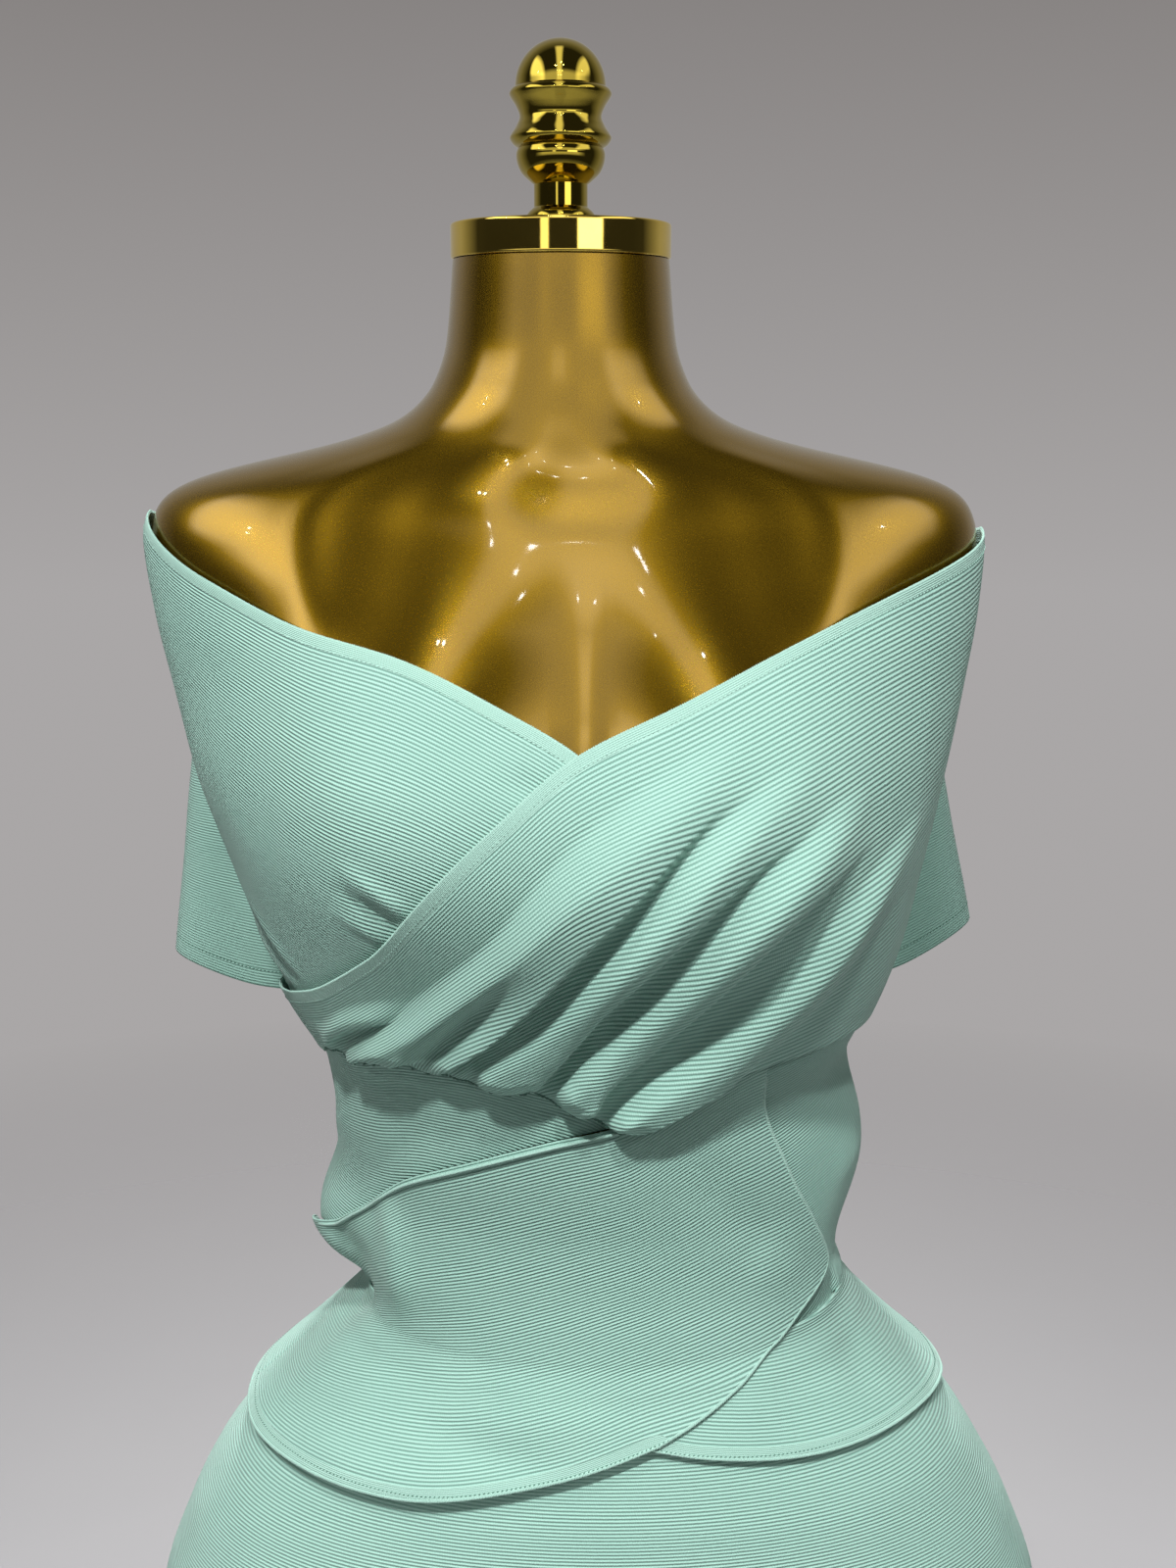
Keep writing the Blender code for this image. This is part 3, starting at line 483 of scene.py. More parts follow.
knit = {
    "ridgeColour": (0.385, 0.610, 0.525),
    # the groove colour is painted shade: the rib grooves and the gaps between knit loops are painted darker
    "grooveColour": (0.165, 0.325, 0.268),
    "shadeColour": (0.335, 0.555, 0.478),
    "bandColour": (0.392, 0.612, 0.528),
    "ribDepth": 0.00040,
    "ribPitch": 0.0016,
    "loopPitch": 0.0008,
    "loopShade": 0.22,
    "roughness": 0.58,
    "unevenness": 0.10,
    "sheen": 0.18,
    "sheenRoughness": 0.45,
    "specular": 0.15,
}
ribPattern = {
    "wander": 0.00016,            # how far a rib strays sideways
    "wanderScale": 210.0,
    "ridgePower": 0.75,
    "edgeBand": 0.0048,           # width of the finer ribs beside a finished edge
    "edgeRibs": 2.2,              # how many of them to one rib
    "edgeRidge": (0.22, 0.62),
    "cloudScale": 26.0,
    "cloudTone": 0.75,
    "rowTone": 0.25,
    "loopHigh": 0.22,
    "speckleScale": 900.0,
    "speckleHigh": 0.30,
}


def makeRibGroup():
    # ribs along the cloth's first axis, each a row of small knit loops
    look = ribPattern
    tree = bpy.data.node_groups.new("knitRibs", "ShaderNodeTree")
    inputs = (("Cloth", "Vector", None), ("Place", "Vector", None), ("Edge Distance", "Float", 1.0),
              ("Rib Pitch", "Float", knit["ribPitch"]), ("Loop Pitch", "Float", knit["loopPitch"]),
              ("Edge Band", "Float", look["edgeBand"]), ("Wander", "Float", look["wander"]))
    made = ("Ridge", "Loops", "Tone", "Band", "Height")
    given, result = groupSockets(tree, inputs, [(name, "Float") for name in made])
    cloth = addNode(tree, "ShaderNodeSeparateXYZ", {0: given["Cloth"]}).outputs
    wander = mathNode(tree, "SUBTRACT", noiseValue(tree, given["Place"], look["wanderScale"]), 0.5)
    across = mathNode(tree, "MULTIPLY_ADD", wander, given["Wander"], cloth["Y"])
    rib = mathNode(tree, "DIVIDE", across, given["Rib Pitch"])
    wave = mathNode(tree, "COSINE", mathNode(tree, "MULTIPLY", rib, 2 * math.pi))
    ridge = mathNode(tree, "POWER", mathNode(tree, "MULTIPLY_ADD", wave, 0.5, 0.5), look["ridgePower"])
    number = mathNode(tree, "ROUND", rib)
    loop = mathNode(tree, "DIVIDE", cloth["X"], given["Loop Pitch"])
    loop = mathNode(tree, "MULTIPLY_ADD", number, 0.5, loop)      # every other row half a loop along
    loopWave = mathNode(tree, "SINE", mathNode(tree, "MULTIPLY", loop, 2 * math.pi))
    loops = mathNode(tree, "MULTIPLY_ADD", loopWave, 0.5, 0.5)
    band = mathNode(tree, "LESS_THAN", given["Edge Distance"], given["Edge Band"])
    fineWave = mathNode(tree, "COSINE", mathNode(tree, "MULTIPLY", rib, look["edgeRibs"] * 2 * math.pi))
    fineRidge = mathNode(tree, "MULTIPLY_ADD", fineWave, *look["edgeRidge"])
    ridge = addNode(tree, "ShaderNodeMix", {"Factor": band, "A": ridge, "B": fineRidge}).outputs["Result"]
    rowNoise = addNode(tree, "ShaderNodeTexWhiteNoise", {"W": number},
                       noise_dimensions="1D").outputs["Value"]
    cloudy = noiseValue(tree, given["Place"], look["cloudScale"], 3.0)
    speckle = noiseValue(tree, given["Place"], look["speckleScale"])
    cloudTone = mathNode(tree, "MULTIPLY", cloudy, look["cloudTone"])
    tone = mathNode(tree, "MULTIPLY_ADD", rowNoise, look["rowTone"], cloudTone)
    height = mathNode(tree, "MULTIPLY_ADD", loops, look["loopHigh"], ridge)
    height = mathNode(tree, "MULTIPLY_ADD", speckle, look["speckleHigh"], height)
    fill(tree, result, dict(zip(made, (ridge, loops, tone, band, height))))
    return tree


def makeKnit(name, ribGroup, **changes):
    look = {**knit, **changes}
    made, tree, place = newMaterial(name)
    cloth = addNode(tree, "ShaderNodeUVMap", uv_map="clothUv").outputs["UV"]
    edge = addNode(tree, "ShaderNodeAttribute", attribute_name="edgeBand").outputs["Fac"]
    inputs = {"Cloth": cloth, "Place": place, "Edge Distance": edge, "Rib Pitch": look["ribPitch"],
              "Loop Pitch": look["loopPitch"]}
    ribs = addNode(tree, "ShaderNodeGroup", inputs, node_tree=ribGroup).outputs
    body = mixColour(tree, ribs["Tone"], look["shadeColour"], look["ridgeColour"])
    body = mixColour(tree, ribs["Band"], body, look["bandColour"])
    # painted shade: lit is high on the rib crests and loops and low in the grooves between them, where the
    # colour turns to the darker groove colour
    lit = mathNode(tree, "MULTIPLY_ADD", ribs["Loops"], look["loopShade"], ribs["Ridge"])
    lit = mathNode(tree, "MINIMUM", lit, 1.0)
    rough = mathNode(tree, "MULTIPLY_ADD", ribs["Tone"], look["unevenness"],
                     look["roughness"] - look["unevenness"] / 2)
    return finishMaterial(made, {
        "Base Color": mixColour(tree, lit, look["grooveColour"], body),
        "Roughness": rough,
        "Normal": bumped(tree, ribs["Height"], 1.0, look["ribDepth"]),
        "Sheen Weight": look["sheen"],
        "Sheen Roughness": look["sheenRoughness"],
        "Specular IOR Level": look["specular"],
    })


yarn = {
    "fibreScale": 1500.0,
    "fibreTone": 0.7,
    "cloudScale": 60.0,
    "cloudTone": 0.4,
    "roughness": 0.62,
    "sheen": 0.2,
    "bump": (0.8, 0.0002),
}


def makeYarn(name, colour, grooveColour):
    # the thicker thread of edges and stitches
    made, tree, place = newMaterial(name)
    fibres = noiseValue(tree, place, yarn["fibreScale"], 3.0, 0.7)
    cloudTone = mathNode(tree, "MULTIPLY", noiseValue(tree, place, yarn["cloudScale"]), yarn["cloudTone"])
    factor = mathNode(tree, "MULTIPLY_ADD", fibres, yarn["fibreTone"], cloudTone)
    return finishMaterial(made, {
        "Base Color": mixColour(tree, factor, grooveColour, colour),
        "Normal": bumped(tree, fibres, *yarn["bump"]),
        "Roughness": yarn["roughness"],
        "Sheen Weight": yarn["sheen"],
    })


goldPaint = {
    "base": (0.340, 0.204, 0.010),
    "dark": (0.255, 0.148, 0.005),
    "roughness": 0.265,
    "unevenness": 0.06,
    "flakeScale": 1700.0,
    "flakeTone": 0.55,
    "flakeHigh": 0.06,
    "cloudScale": 14.0,
    "cloudTone": 0.5,
    "peelScale": 230.0,
    "peel": (0.12, 0.00012),       # the lacquer's orange peel: strength, depth
    "metallic": 0.95,
    "coat": 0.75,
    "coatRoughness": 0.045,
}


def makeGoldPaint():
    look = goldPaint
    made, tree, place = newMaterial("goldPaint")
    flakes = noiseValue(tree, place, look["flakeScale"])
    clouds = noiseValue(tree, place, look["cloudScale"], 3.0)
    cloudTone = mathNode(tree, "MULTIPLY", clouds, look["cloudTone"])
    peel = noiseValue(tree, place, look["peelScale"], 2.0, 0.55)
    factor = mathNode(tree, "MULTIPLY_ADD", flakes, look["flakeTone"], cloudTone)
    rough = mathNode(tree, "MULTIPLY_ADD", flakes, look["unevenness"],
                     look["roughness"] - look["unevenness"] / 2)
    height = mathNode(tree, "MULTIPLY_ADD", flakes, look["flakeHigh"], peel)
    return finishMaterial(made, {
        "Base Color": mixColour(tree, factor, look["dark"], look["base"]),
        "Roughness": rough,
        "Normal": bumped(tree, height, *look["peel"]),
        "Metallic": look["metallic"],
        "Coat Weight": look["coat"],
        "Coat Roughness": look["coatRoughness"],
    })


plating = {
    "smearScale": 45.0,
    "roughness": (0.05, 0.025),     # in the smears, and clear
    "bump": (0.15, 0.0002),
}


def makeGoldPlate(name, dull, clear):
    made, tree, place = newMaterial(name)
    smears = noiseValue(tree, place, plating["smearScale"], 4.0, 0.6)
    return finishMaterial(made, {
        "Base Color": mixColour(tree, smears, dull, clear),
        "Roughness": mathNode(tree, "MULTIPLY_ADD", smears, *plating["roughness"]),
        "Normal": bumped(tree, smears, *plating["bump"]),
        "Metallic": 1.0,
    })


ribGroup = makeRibGroup()
mintKnit = makeKnit("mintKnit", ribGroup)
bowKnit = makeKnit("bowKnit", ribGroup, ribDepth=0.00030, grooveColour=(0.215, 0.390, 0.328))
edgeYarn = makeYarn("edgeYarn", (0.415, 0.630, 0.550), (0.235, 0.410, 0.345))
# the seam yarn's dark colour is the thread's own, and along the gather seam it also paints the seam's shadow
# line
seamYarn = makeYarn("seamYarn", (0.060, 0.170, 0.125), (0.030, 0.095, 0.070))
goldPaintSurface = makeGoldPaint()
goldPlateSurface = makeGoldPlate("goldPlate", (0.700, 0.500, 0.090), (0.860, 0.640, 0.140))
# the finial's plate is a darker copy of the gold plate: painted shade that dims the reflections it would show
shadedFinialPlateSurface = makeGoldPlate("shadedFinialPlate", (0.330, 0.250, 0.030), (0.470, 0.360, 0.060))
print("materials made")


# Stitches that follow an edge
def makeStitchTree():
    tree = bpy.data.node_groups.new("stitchesAlongEdge", "GeometryNodeTree")
    inputs = (("Geometry", "Geometry", None), ("Pitch", "Float", 0.0014), ("Stitch Length", "Float", 0.0024),
              ("Stitch Width", "Float", 0.0013), ("Stitch Height", "Float", 0.0013), ("Slant", "Float", 0.6),
              ("Unevenness", "Float", 0.12), ("Seed", "Int", 3), ("Material", "Material", None))
    given, result = groupSockets(tree, inputs, (("Geometry", "Geometry"),))
    edge = addNode(tree, "GeometryNodeMeshToCurve", {"Mesh": given["Geometry"]}).outputs["Curve"]
    spaced = addNode(tree, "GeometryNodeResampleCurve", {"Curve": edge, "Length": given["Pitch"]},
                     mode="LENGTH").outputs["Curve"]
    # each stitch lies along the edge, faces out and slants
    tangent = addNode(tree, "GeometryNodeInputTangent").outputs["Tangent"]
    outward = addNode(tree, "GeometryNodeInputNamedAttribute", {"Name": "outward"},
                      data_type="FLOAT_VECTOR").outputs["Attribute"]
    along = addNode(tree, "FunctionNodeAlignRotationToVector", {"Vector": tangent}, axis="X").outputs[0]
    facing = addNode(tree, "FunctionNodeAlignRotationToVector", {"Rotation": along, "Vector": outward},
                     axis="Z", pivot_axis="X").outputs[0]
    uneven = addNode(tree, "FunctionNodeRandomValue", {2: -1.0, 3: 1.0, "Seed": given["Seed"]},
                     data_type="FLOAT").outputs[1]
    slant = mathNode(tree, "MULTIPLY_ADD", uneven, given["Unevenness"], given["Slant"])
    turn = addNode(tree, "FunctionNodeAxisAngleToRotation",
                   {"Axis": (0.0, 0.0, 1.0), "Angle": slant}).outputs[0]
    slanted = addNode(tree, "FunctionNodeRotateRotation", {"Rotation": facing, "Rotate By": turn},
                      rotation_space="LOCAL").outputs[0]
    bead = addNode(tree, "GeometryNodeMeshUVSphere", {"Segments": 6, "Rings": 5, "Radius": 0.5}).outputs[0]
    bead = addNode(tree, "GeometryNodeTransform",
                   {"Geometry": bead, "Rotation": (0.0, math.pi / 2, 0.0)}).outputs[0]
    size = addNode(tree, "ShaderNodeCombineXYZ", {"X": given["Stitch Length"], "Y": given["Stitch Width"],
                                                  "Z": given["Stitch Height"]}).outputs[0]
    bead = addNode(tree, "GeometryNodeTransform", {"Geometry": bead, "Scale": size}).outputs[0]
    placed = addNode(tree, "GeometryNodeInstanceOnPoints",
                     {"Points": spaced, "Instance": bead, "Rotation": slanted}).outputs[0]
    whole = addNode(tree, "GeometryNodeRealizeInstances", {"Geometry": placed}).outputs[0]
    smooth = addNode(tree, "GeometryNodeSetShadeSmooth", {"Geometry": whole}).outputs[0]
    painted = addNode(tree, "GeometryNodeSetMaterial",
                      {"Geometry": smooth, "Material": given["Material"]}).outputs[0]
    fill(tree, result, {"Geometry": painted})
    return tree


stitchTree = makeStitchTree()

stitchKinds = {
    "roll": {"Pitch": 0.00125, "Stitch Length": 0.0030, "Stitch Width": 0.0014, "Stitch Height": 0.0015,
             "Slant": 0.62, "Unevenness": 0.10},
    "fineRoll": {"Pitch": 0.00105, "Stitch Length": 0.0021, "Stitch Width": 0.0010, "Stitch Height": 0.0011,
                 "Slant": 0.75, "Unevenness": 0.12},
    "dots": {"Pitch": 0.0021, "Stitch Length": 0.0012, "Stitch Width": 0.0005, "Stitch Height": 0.0005,
             "Slant": 0.5, "Unevenness": 0.20},
    "rope": {"Pitch": 0.0012, "Stitch Length": 0.0025, "Stitch Width": 0.0011, "Stitch Height": 0.0012,
             "Slant": 0.60, "Unevenness": 0.12},
    "seam": {"Pitch": 0.0018, "Stitch Length": 0.0024, "Stitch Width": 0.0015, "Stitch Height": 0.0014,
             "Slant": 0.55, "Unevenness": 0.55},
}


def stitches(name, runs, kind, material, seed=3):
    # runs are lists of (points, outward normals), one for each edge
    vertices, edges, normals = [], [], []
    for points, outward in runs:
        first = len(vertices)
        vertices += [tuple(p) for p in points]
        normals += [tuple(n) for n in outward]
        edges += [(first + i, first + i + 1) for i in range(len(points) - 1)]
    mesh = bpy.data.meshes.new(name)
    mesh.from_pydata(vertices, edges, [])
    facing = mesh.attributes.new("outward", "FLOAT_VECTOR", "POINT")
    facing.data.foreach_set("vector", np.array(normals, float).ravel())
    guide = addObject(name + "Guide", mesh)
    modifier = guide.modifiers.new("stitches", "NODES")
    modifier.node_group = stitchTree
    values = {**stitchKinds[kind], "Seed": seed, "Material": material}
    for item in stitchTree.interface.items_tree:
        if item.in_out == "INPUT" and item.name in values:
            modifier[item.identifier] = values[item.name]
    guide.update_tag()
    depsgraph = bpy.context.evaluated_depsgraph_get()
    made = bpy.data.meshes.new_from_object(guide.evaluated_get(depsgraph))
    made.name = name
    guide.modifiers.clear()
    bpy.data.objects.remove(guide)
    if not made.materials:
        made.materials.append(material)
    return addObject(name, made)


def gridLine(wall, side, inset=0.0, lift=0.0, out=0.0):
    # points along one side of a cloth wall, moved in from the edge by inset and off it by lift
    outer, normal = wall["outer"], wall["normal"]
    if side in ("start", "end"):
        outer, normal = outer.swapaxes(0, 1), normal.swapaxes(0, 1)
    if side in ("upper", "end"):
        outer, normal = outer[::-1], normal[::-1]
    if inset <= 0:
        away = outer[0] - outer[1]
        away = away / np.linalg.norm(away, axis=1, keepdims=True)
        return outer[0] + normal[0] * lift + away * out, normal[0]
    steps = np.linalg.norm(np.diff(outer[:40], axis=0), axis=2)
    run = np.concatenate([np.zeros((1, outer.shape[1])), np.cumsum(steps, axis=0)])
    points, normals = [], []
    for c in range(outer.shape[1]):
        at = np.interp(inset, run[:, c], np.arange(len(run)))
        k = min(int(at), len(run) - 2)
        t = at - k
        points.append(outer[k, c] * (1 - t) + outer[k + 1, c] * t + normal[k, c] * lift)
        normals.append(normal[k, c])
    return np.array(points), np.array(normals)


# the stitched edges: a roll over the edge itself, and a row of dots beside it
edgeLooks = {
    "neck": {"side": "upper", "kind": "fineRoll", "out": 0.0002, "lift": -0.0004, "inset": 0.0054,
             "dotYarn": edgeYarn},
    "hem": {"side": "lower", "kind": "roll", "out": 0.0006, "lift": -0.0004, "inset": 0.0046,
            "dotYarn": seamYarn},
}
dotLift = 0.0001


def trimRow(name, lines, kind, material, seed):
    return finishPiece(stitches(name, lines, kind, material, seed), "mint_edge")


def dotRow(name, wall, sides, inset, material, seed):
    lines = [gridLine(wall, side, inset=inset, lift=dotLift) for side in sides]
    return trimRow(name, lines, "dots", material, seed)


def edgeTrims(name, wall, kind, seed, otherLines=(), **changes):
    look = {**edgeLooks[kind], **changes}
    lines = [gridLine(wall, look["side"], out=look["out"], lift=look["lift"]), *otherLines]
    return [trimRow(name + "Edge", lines, look["kind"], edgeYarn, seed),
            dotRow(name + "Stitches", wall, (look["side"],), look["inset"], look["dotYarn"], seed + 1)]


def tube(name, points, outward, radius, material, sides=8):
    forward = np.gradient(points, axis=0)
    forward /= np.linalg.norm(forward, axis=1, keepdims=True)
    across = np.cross(forward, outward)
    across /= np.linalg.norm(across, axis=1, keepdims=True)
    up = np.cross(across, forward)
    turns = 2 * math.pi * np.arange(sides) / sides
    spokes = (np.cos(turns)[None, :, None] * up[:, None]
              + np.sin(turns)[None, :, None] * across[:, None])
    ring = points[:, None] + radius * spokes
    return addMesh(name, ring.reshape(-1, 3), ringFaces(len(points), sides), material)


def joined(name, parts):
    # several meshes become one piece
    bm = bmesh.new()
    for part in parts:
        bm.from_mesh(part.data)
    mesh = bpy.data.meshes.new(name)
    bm.to_mesh(mesh)
    bm.free()
    mesh.materials.append(parts[0].data.materials[0])
    mesh.polygons.foreach_set("material_index", np.zeros(len(mesh.polygons), dtype=np.int32))
    mesh.shade_smooth()
    for part in parts:
        bpy.data.objects.remove(part)
    return addObject(name, mesh)


# Stand, cap and finial
turnedSides = 96


def turned(name, profile, centre, material, sharpAngle=35.0):
    turns = 2 * math.pi * np.arange(turnedSides) / turnedSides
    rings = [np.stack([centre + r * np.cos(turns), r * np.sin(turns), np.full(turnedSides, z)], axis=1)
             for r, z in profile]
    faces = ringFaces(len(profile), turnedSides)
    return addMesh(name, np.concatenate(rings), faces, material, sharpAngle=sharpAngle)


def rounded(profile, radius, steps=4):
    # softens each inner corner of a profile
    points = [np.array(profile[0], float)]
    for before, corner, after in zip(profile, profile[1:], profile[2:]):
        before, corner, after = (np.array(p, float) for p in (before, corner, after))
        inward, onward = before - corner, after - corner
        cut = min(radius, 0.45 * np.linalg.norm(inward), 0.45 * np.linalg.norm(onward))
        sides = [arm / np.linalg.norm(arm) for arm in (inward, onward)]
        spare = [cut + min(0.3 * cut, 0.04 * np.linalg.norm(arm)) for arm in (inward, onward)]
        first, last = corner + sides[0] * cut, corner + sides[1] * cut
        points.append(corner + sides[0] * spare[0])      # keeps the flat beside the corner flat
        for i in range(steps + 1):
            t = i / steps
            points.append((1 - t) ** 2 * first + 2 * t * (1 - t) * corner + t * t * last)
        points.append(corner + sides[1] * spare[1])
    points.append(np.array(profile[-1], float))
    return [tuple(p) for p in points]


stand = {
    "baseRadius": 0.150,
    "baseRim": 0.007,
    "baseCrown": 0.017,
    "baseRounding": 0.004,
    "collarRadius": 0.024,
    "collarHeight": 0.045,
    "poleRadius": 0.0125,
    "poleRounding": 0.0016,
}


def makeStand():
    radius, rim, crown = stand["baseRadius"], stand["baseRim"], stand["baseCrown"]
    collar, pole = stand["collarRadius"], stand["poleRadius"]
    baseProfile = ((radius - 0.002, 0.0), (radius, 0.001), (radius, rim), (radius - 0.004, rim + 0.003),
                   (0.060, crown - 0.001), (collar + 0.004, crown))
    base = turned("standBase", rounded(baseProfile, stand["baseRounding"]), 0.0, goldPlateSurface)
    finishPiece(base, "gold_plate", "stand_base")
    foot = crown + pieceGap
    top = foot + stand["collarHeight"]
    poleProfile = ((collar, foot), (collar, top), (pole + 0.0033, top + 0.004), (pole, top + 0.006),
                   (pole, formFoot - pieceGap))
    tall = turned("standPole", rounded(poleProfile, stand["poleRounding"]), 0.0, goldPlateSurface)
    finishPiece(tall, "gold_plate", "stand_pole")


finial = {
    "capRadius": 0.0490,
    "capHeight": 0.0150,
    "capRounding": 0.0012,
    "domeRadius": 0.0198,
    "domeMiddle": 0.0572,
    "domeSteps": 24,
    "domeTurn": 89.0,
}
# the finial's turning in smooth runs, each ending in a crisp corner: radius, height above the cap
finialRuns = (
    ((0.0150, 0.0000), (0.0153, 0.0006), (0.0153, 0.0030), (0.0142, 0.0049), (0.0119, 0.0070)),
    ((0.0119, 0.0070), (0.0119, 0.0118), (0.0119, 0.0165)),
    ((0.0119, 0.0165), (0.0138, 0.0180), (0.0172, 0.0212), (0.0191, 0.0252), (0.0196, 0.0290),
     (0.0188, 0.0318)),
    ((0.0188, 0.0318), (0.0208, 0.0332), (0.0223, 0.0355), (0.0217, 0.0374), (0.0195, 0.0408),
     (0.0180, 0.0448), (0.0195, 0.0490), (0.0217, 0.0524), (0.0224, 0.0541), (0.0216, 0.0558),
     (0.0199, 0.0570)),
)


def smoothRun(points, steps=6):
    # a curve through the points of one run
    knots = np.array(points, float)
    padded = np.concatenate([[2 * knots[0] - knots[1]], knots, [2 * knots[-1] - knots[-2]]])
    made = []
    for i in range(1, len(padded) - 2):
        a, b, c, d = padded[i - 1:i + 3]
        for k in range(steps):
            t = k / steps
            curve = (2 * a - 5 * b + 4 * c - d) * t * t + (3 * b - a - 3 * c + d) * t ** 3
            made.append(0.5 * (2 * b + (c - a) * t + curve))
    made.append(knots[-1])
    return made


def makeNeckCap():
    foot = neckTop + pieceGap
    radius, top = finial["capRadius"], foot + finial["capHeight"]
    profile = ((radius - 0.003, foot), (radius, foot), (radius, top), (radius - 0.004, top))
    profile = rounded(profile, finial["capRounding"], 5)
    cap = turned("neckCap", profile, neckShift, goldPlateSurface, 60.0)
    finishPiece(cap, "gold_plate", "neck_cap")
    sole = top + pieceGap
    profile = []
    for run in finialRuns:
        points = smoothRun(run)
        profile += [(p[0], sole + p[1]) for p in points[(1 if profile else 0):]]
    middle, dome, steps = sole + finial["domeMiddle"], finial["domeRadius"], finial["domeSteps"]
    for step in range(1, steps + 1):
        turn = math.radians(step * finial["domeTurn"] / steps)
        profile.append((dome * math.cos(turn), middle + dome * math.sin(turn)))
    # the finial wears the darker copy of the gold plate, painted shade on its reflections
    topPiece = turned("neckFinial", profile, neckShift, shadedFinialPlateSurface, 40.0)
    finishPiece(topPiece, "gold_plate", "neck_finial")


makeStand()
makeNeckCap()
print("stand, cap and finial made")


# The form
# Soft ridges (high > 0) and hollows on the form's front: start, end, high, width, bow.
formFeatures = (
    ((-3.2, 1.4060), (-26, 1.4165), 0.0017, 0.0105, 0.0015),     # collar bones
    ((-22, 1.4175), (-46, 1.4190), 0.0010, 0.0090, 0.0),
    ((7.2, 1.4060), (29, 1.4165), 0.0015, 0.0105, 0.0015),
    ((25, 1.4175), (48, 1.4190), 0.0010, 0.0090, 0.0),
    ((-6, 1.427), (-30, 1.4265), -0.0006, 0.0045, 0.0),          # hollows above them
    ((10, 1.427), (32, 1.4270), -0.0006, 0.0045, 0.0),
    ((-27.0, 1.425), (-29.5, 1.330), -0.0040, 0.0150, 0.0030),   # broad hollow inside each shoulder
    ((28.5, 1.425), (31.0, 1.330), -0.0040, 0.0150, -0.0030),
    ((-36.5, 1.422), (-38.0, 1.345), 0.0012, 0.0060, 0.0030),    # and the shoulder's inner rim
    ((38.0, 1.422), (39.5, 1.345), 0.0010, 0.0065, -0.0030),
)
formPits = (      # angle, height, depth, width
    (2.2, 1.4160, 0.0014, 0.0085),
    (3.0, 1.4050, 0.0008, 0.0080),
)
pitMetresPerDegree = 0.0011
cleft = {
    "angle": 3.2,
    "depth": 0.0145,
    "width": 0.068,
    "radius": 0.0032,
    "metresPerDegree": 0.0019,
    "fades": (1.315, 1.402),           # levels over which it ends upward
    "foot": (1.200, 1.270),            # and begins
    "slope": 2.2,
}
formSides = 240
formLevels = ((formFoot, 1.19, 66), (1.19, 1.30, 14), (1.30, 1.46, 92), (1.46, neckTop, 14))
chestBlur = {"reach": 12, "width": 4.5, "starts": (1.365, 1.385), "ends": (1.432, 1.446)}


def chestSoftened(base, height):
    # evens out the chest and the shoulders' tops, level by level
    reach = chestBlur["reach"]
    weights = bell(np.arange(-reach, reach + 1), chestBlur["width"])
    padded = np.concatenate([base[:1]] * reach + [base] + [base[-1:]] * reach)
    soft = sum(w * padded[i:i + len(base)] for i, w in enumerate(weights)) / weights.sum()
    soft[..., 2] = base[..., 2]
    share = ramp(height, *chestBlur["starts"]) * (1 - ramp(height, *chestBlur["ends"]))
    return base + (soft - base) * share[..., None]


def makeForm():
    levels = [np.linspace(low, high, count)[:-1] for low, high, count in formLevels]
    levels = np.concatenate(levels + [[neckTop]])
    angles = (np.arange(formSides) + 0.5) * 360.0 / formSides - 180.0
    angle, height = np.meshgrid(angles, levels)
    shift = creases(formFeatures, angle, height) * ramp(70 - np.abs(angle), 0, 12)
    for place, level, depth, width in formPits:
        off = np.hypot((angle - place) * pitMetresPerDegree, height - level)
        shift = shift - depth * bell(off, width)
    split = cleft["depth"] * (1 - ramp(height, *cleft["fades"])) * ramp(height, *cleft["foot"])
    across = np.hypot((angle - cleft["angle"]) * cleft["metresPerDegree"], cleft["radius"]) / cleft["width"]
    shift = shift - split * np.clip(1 - across, 0, 1) ** cleft["slope"]
    edge = np.where(angle < 1.5, readPairs(angle, necklineUnder), readPairs(angle, necklineTop))
    shift = np.where(shift > 0, shift * ramp(height - edge, 0.002, 0.012), shift)
    base = chestSoftened(figurePoint(angle, height, False), height)
    points = base + surfaceNormal(angle, height, False) * shift[..., None]
    points[..., 2] = np.clip(points[..., 2], formFoot, neckTop)
    faces = ringFaces(len(levels), formSides)
    form = addMesh("formTorso", points.reshape(-1, 3), faces, goldPaintSurface, sharpAngle=60.0)
    finishPiece(form, "gold_paint", "form_torso")


makeForm()
print("form made")


# Bodice: the wrap that goes under
underWrap = {
    "columns": 110,
    "rows": 96,
    "flat": (0.28, 0.25),
    "cutArea": 0.053,
    # short creases that run out from under the other wrap, and puckers at its side
    "creases": (
        ((-26, 1.236), (-37, 1.252), -0.0022, 0.0022, 0.0),
        ((-24, 1.243), (-35, 1.262), 0.0020, 0.0026, 0.0),
        ((-29, 1.229), (-39, 1.241), 0.0013, 0.0022, 0.0),
        ((-60, 1.193), (-78, 1.222), -0.0016, 0.0022, 0.0),
        ((-56, 1.196), (-74, 1.232), 0.0014, 0.0024, 0.0),
        ((-64, 1.189), (-82, 1.212), 0.0014, 0.0022, 0.0),
        ((-8, 1.300), (2, 1.286), -0.0012, 0.0040, 0.0),
        ((-60, 1.350), (-80, 1.290), -0.0012, 0.0130, 0.0),
    ),
    "gatherTuck": 0.0066,
    "hiddenEdge": (17, 1.190),
    "ribStretch": 0.95,
}


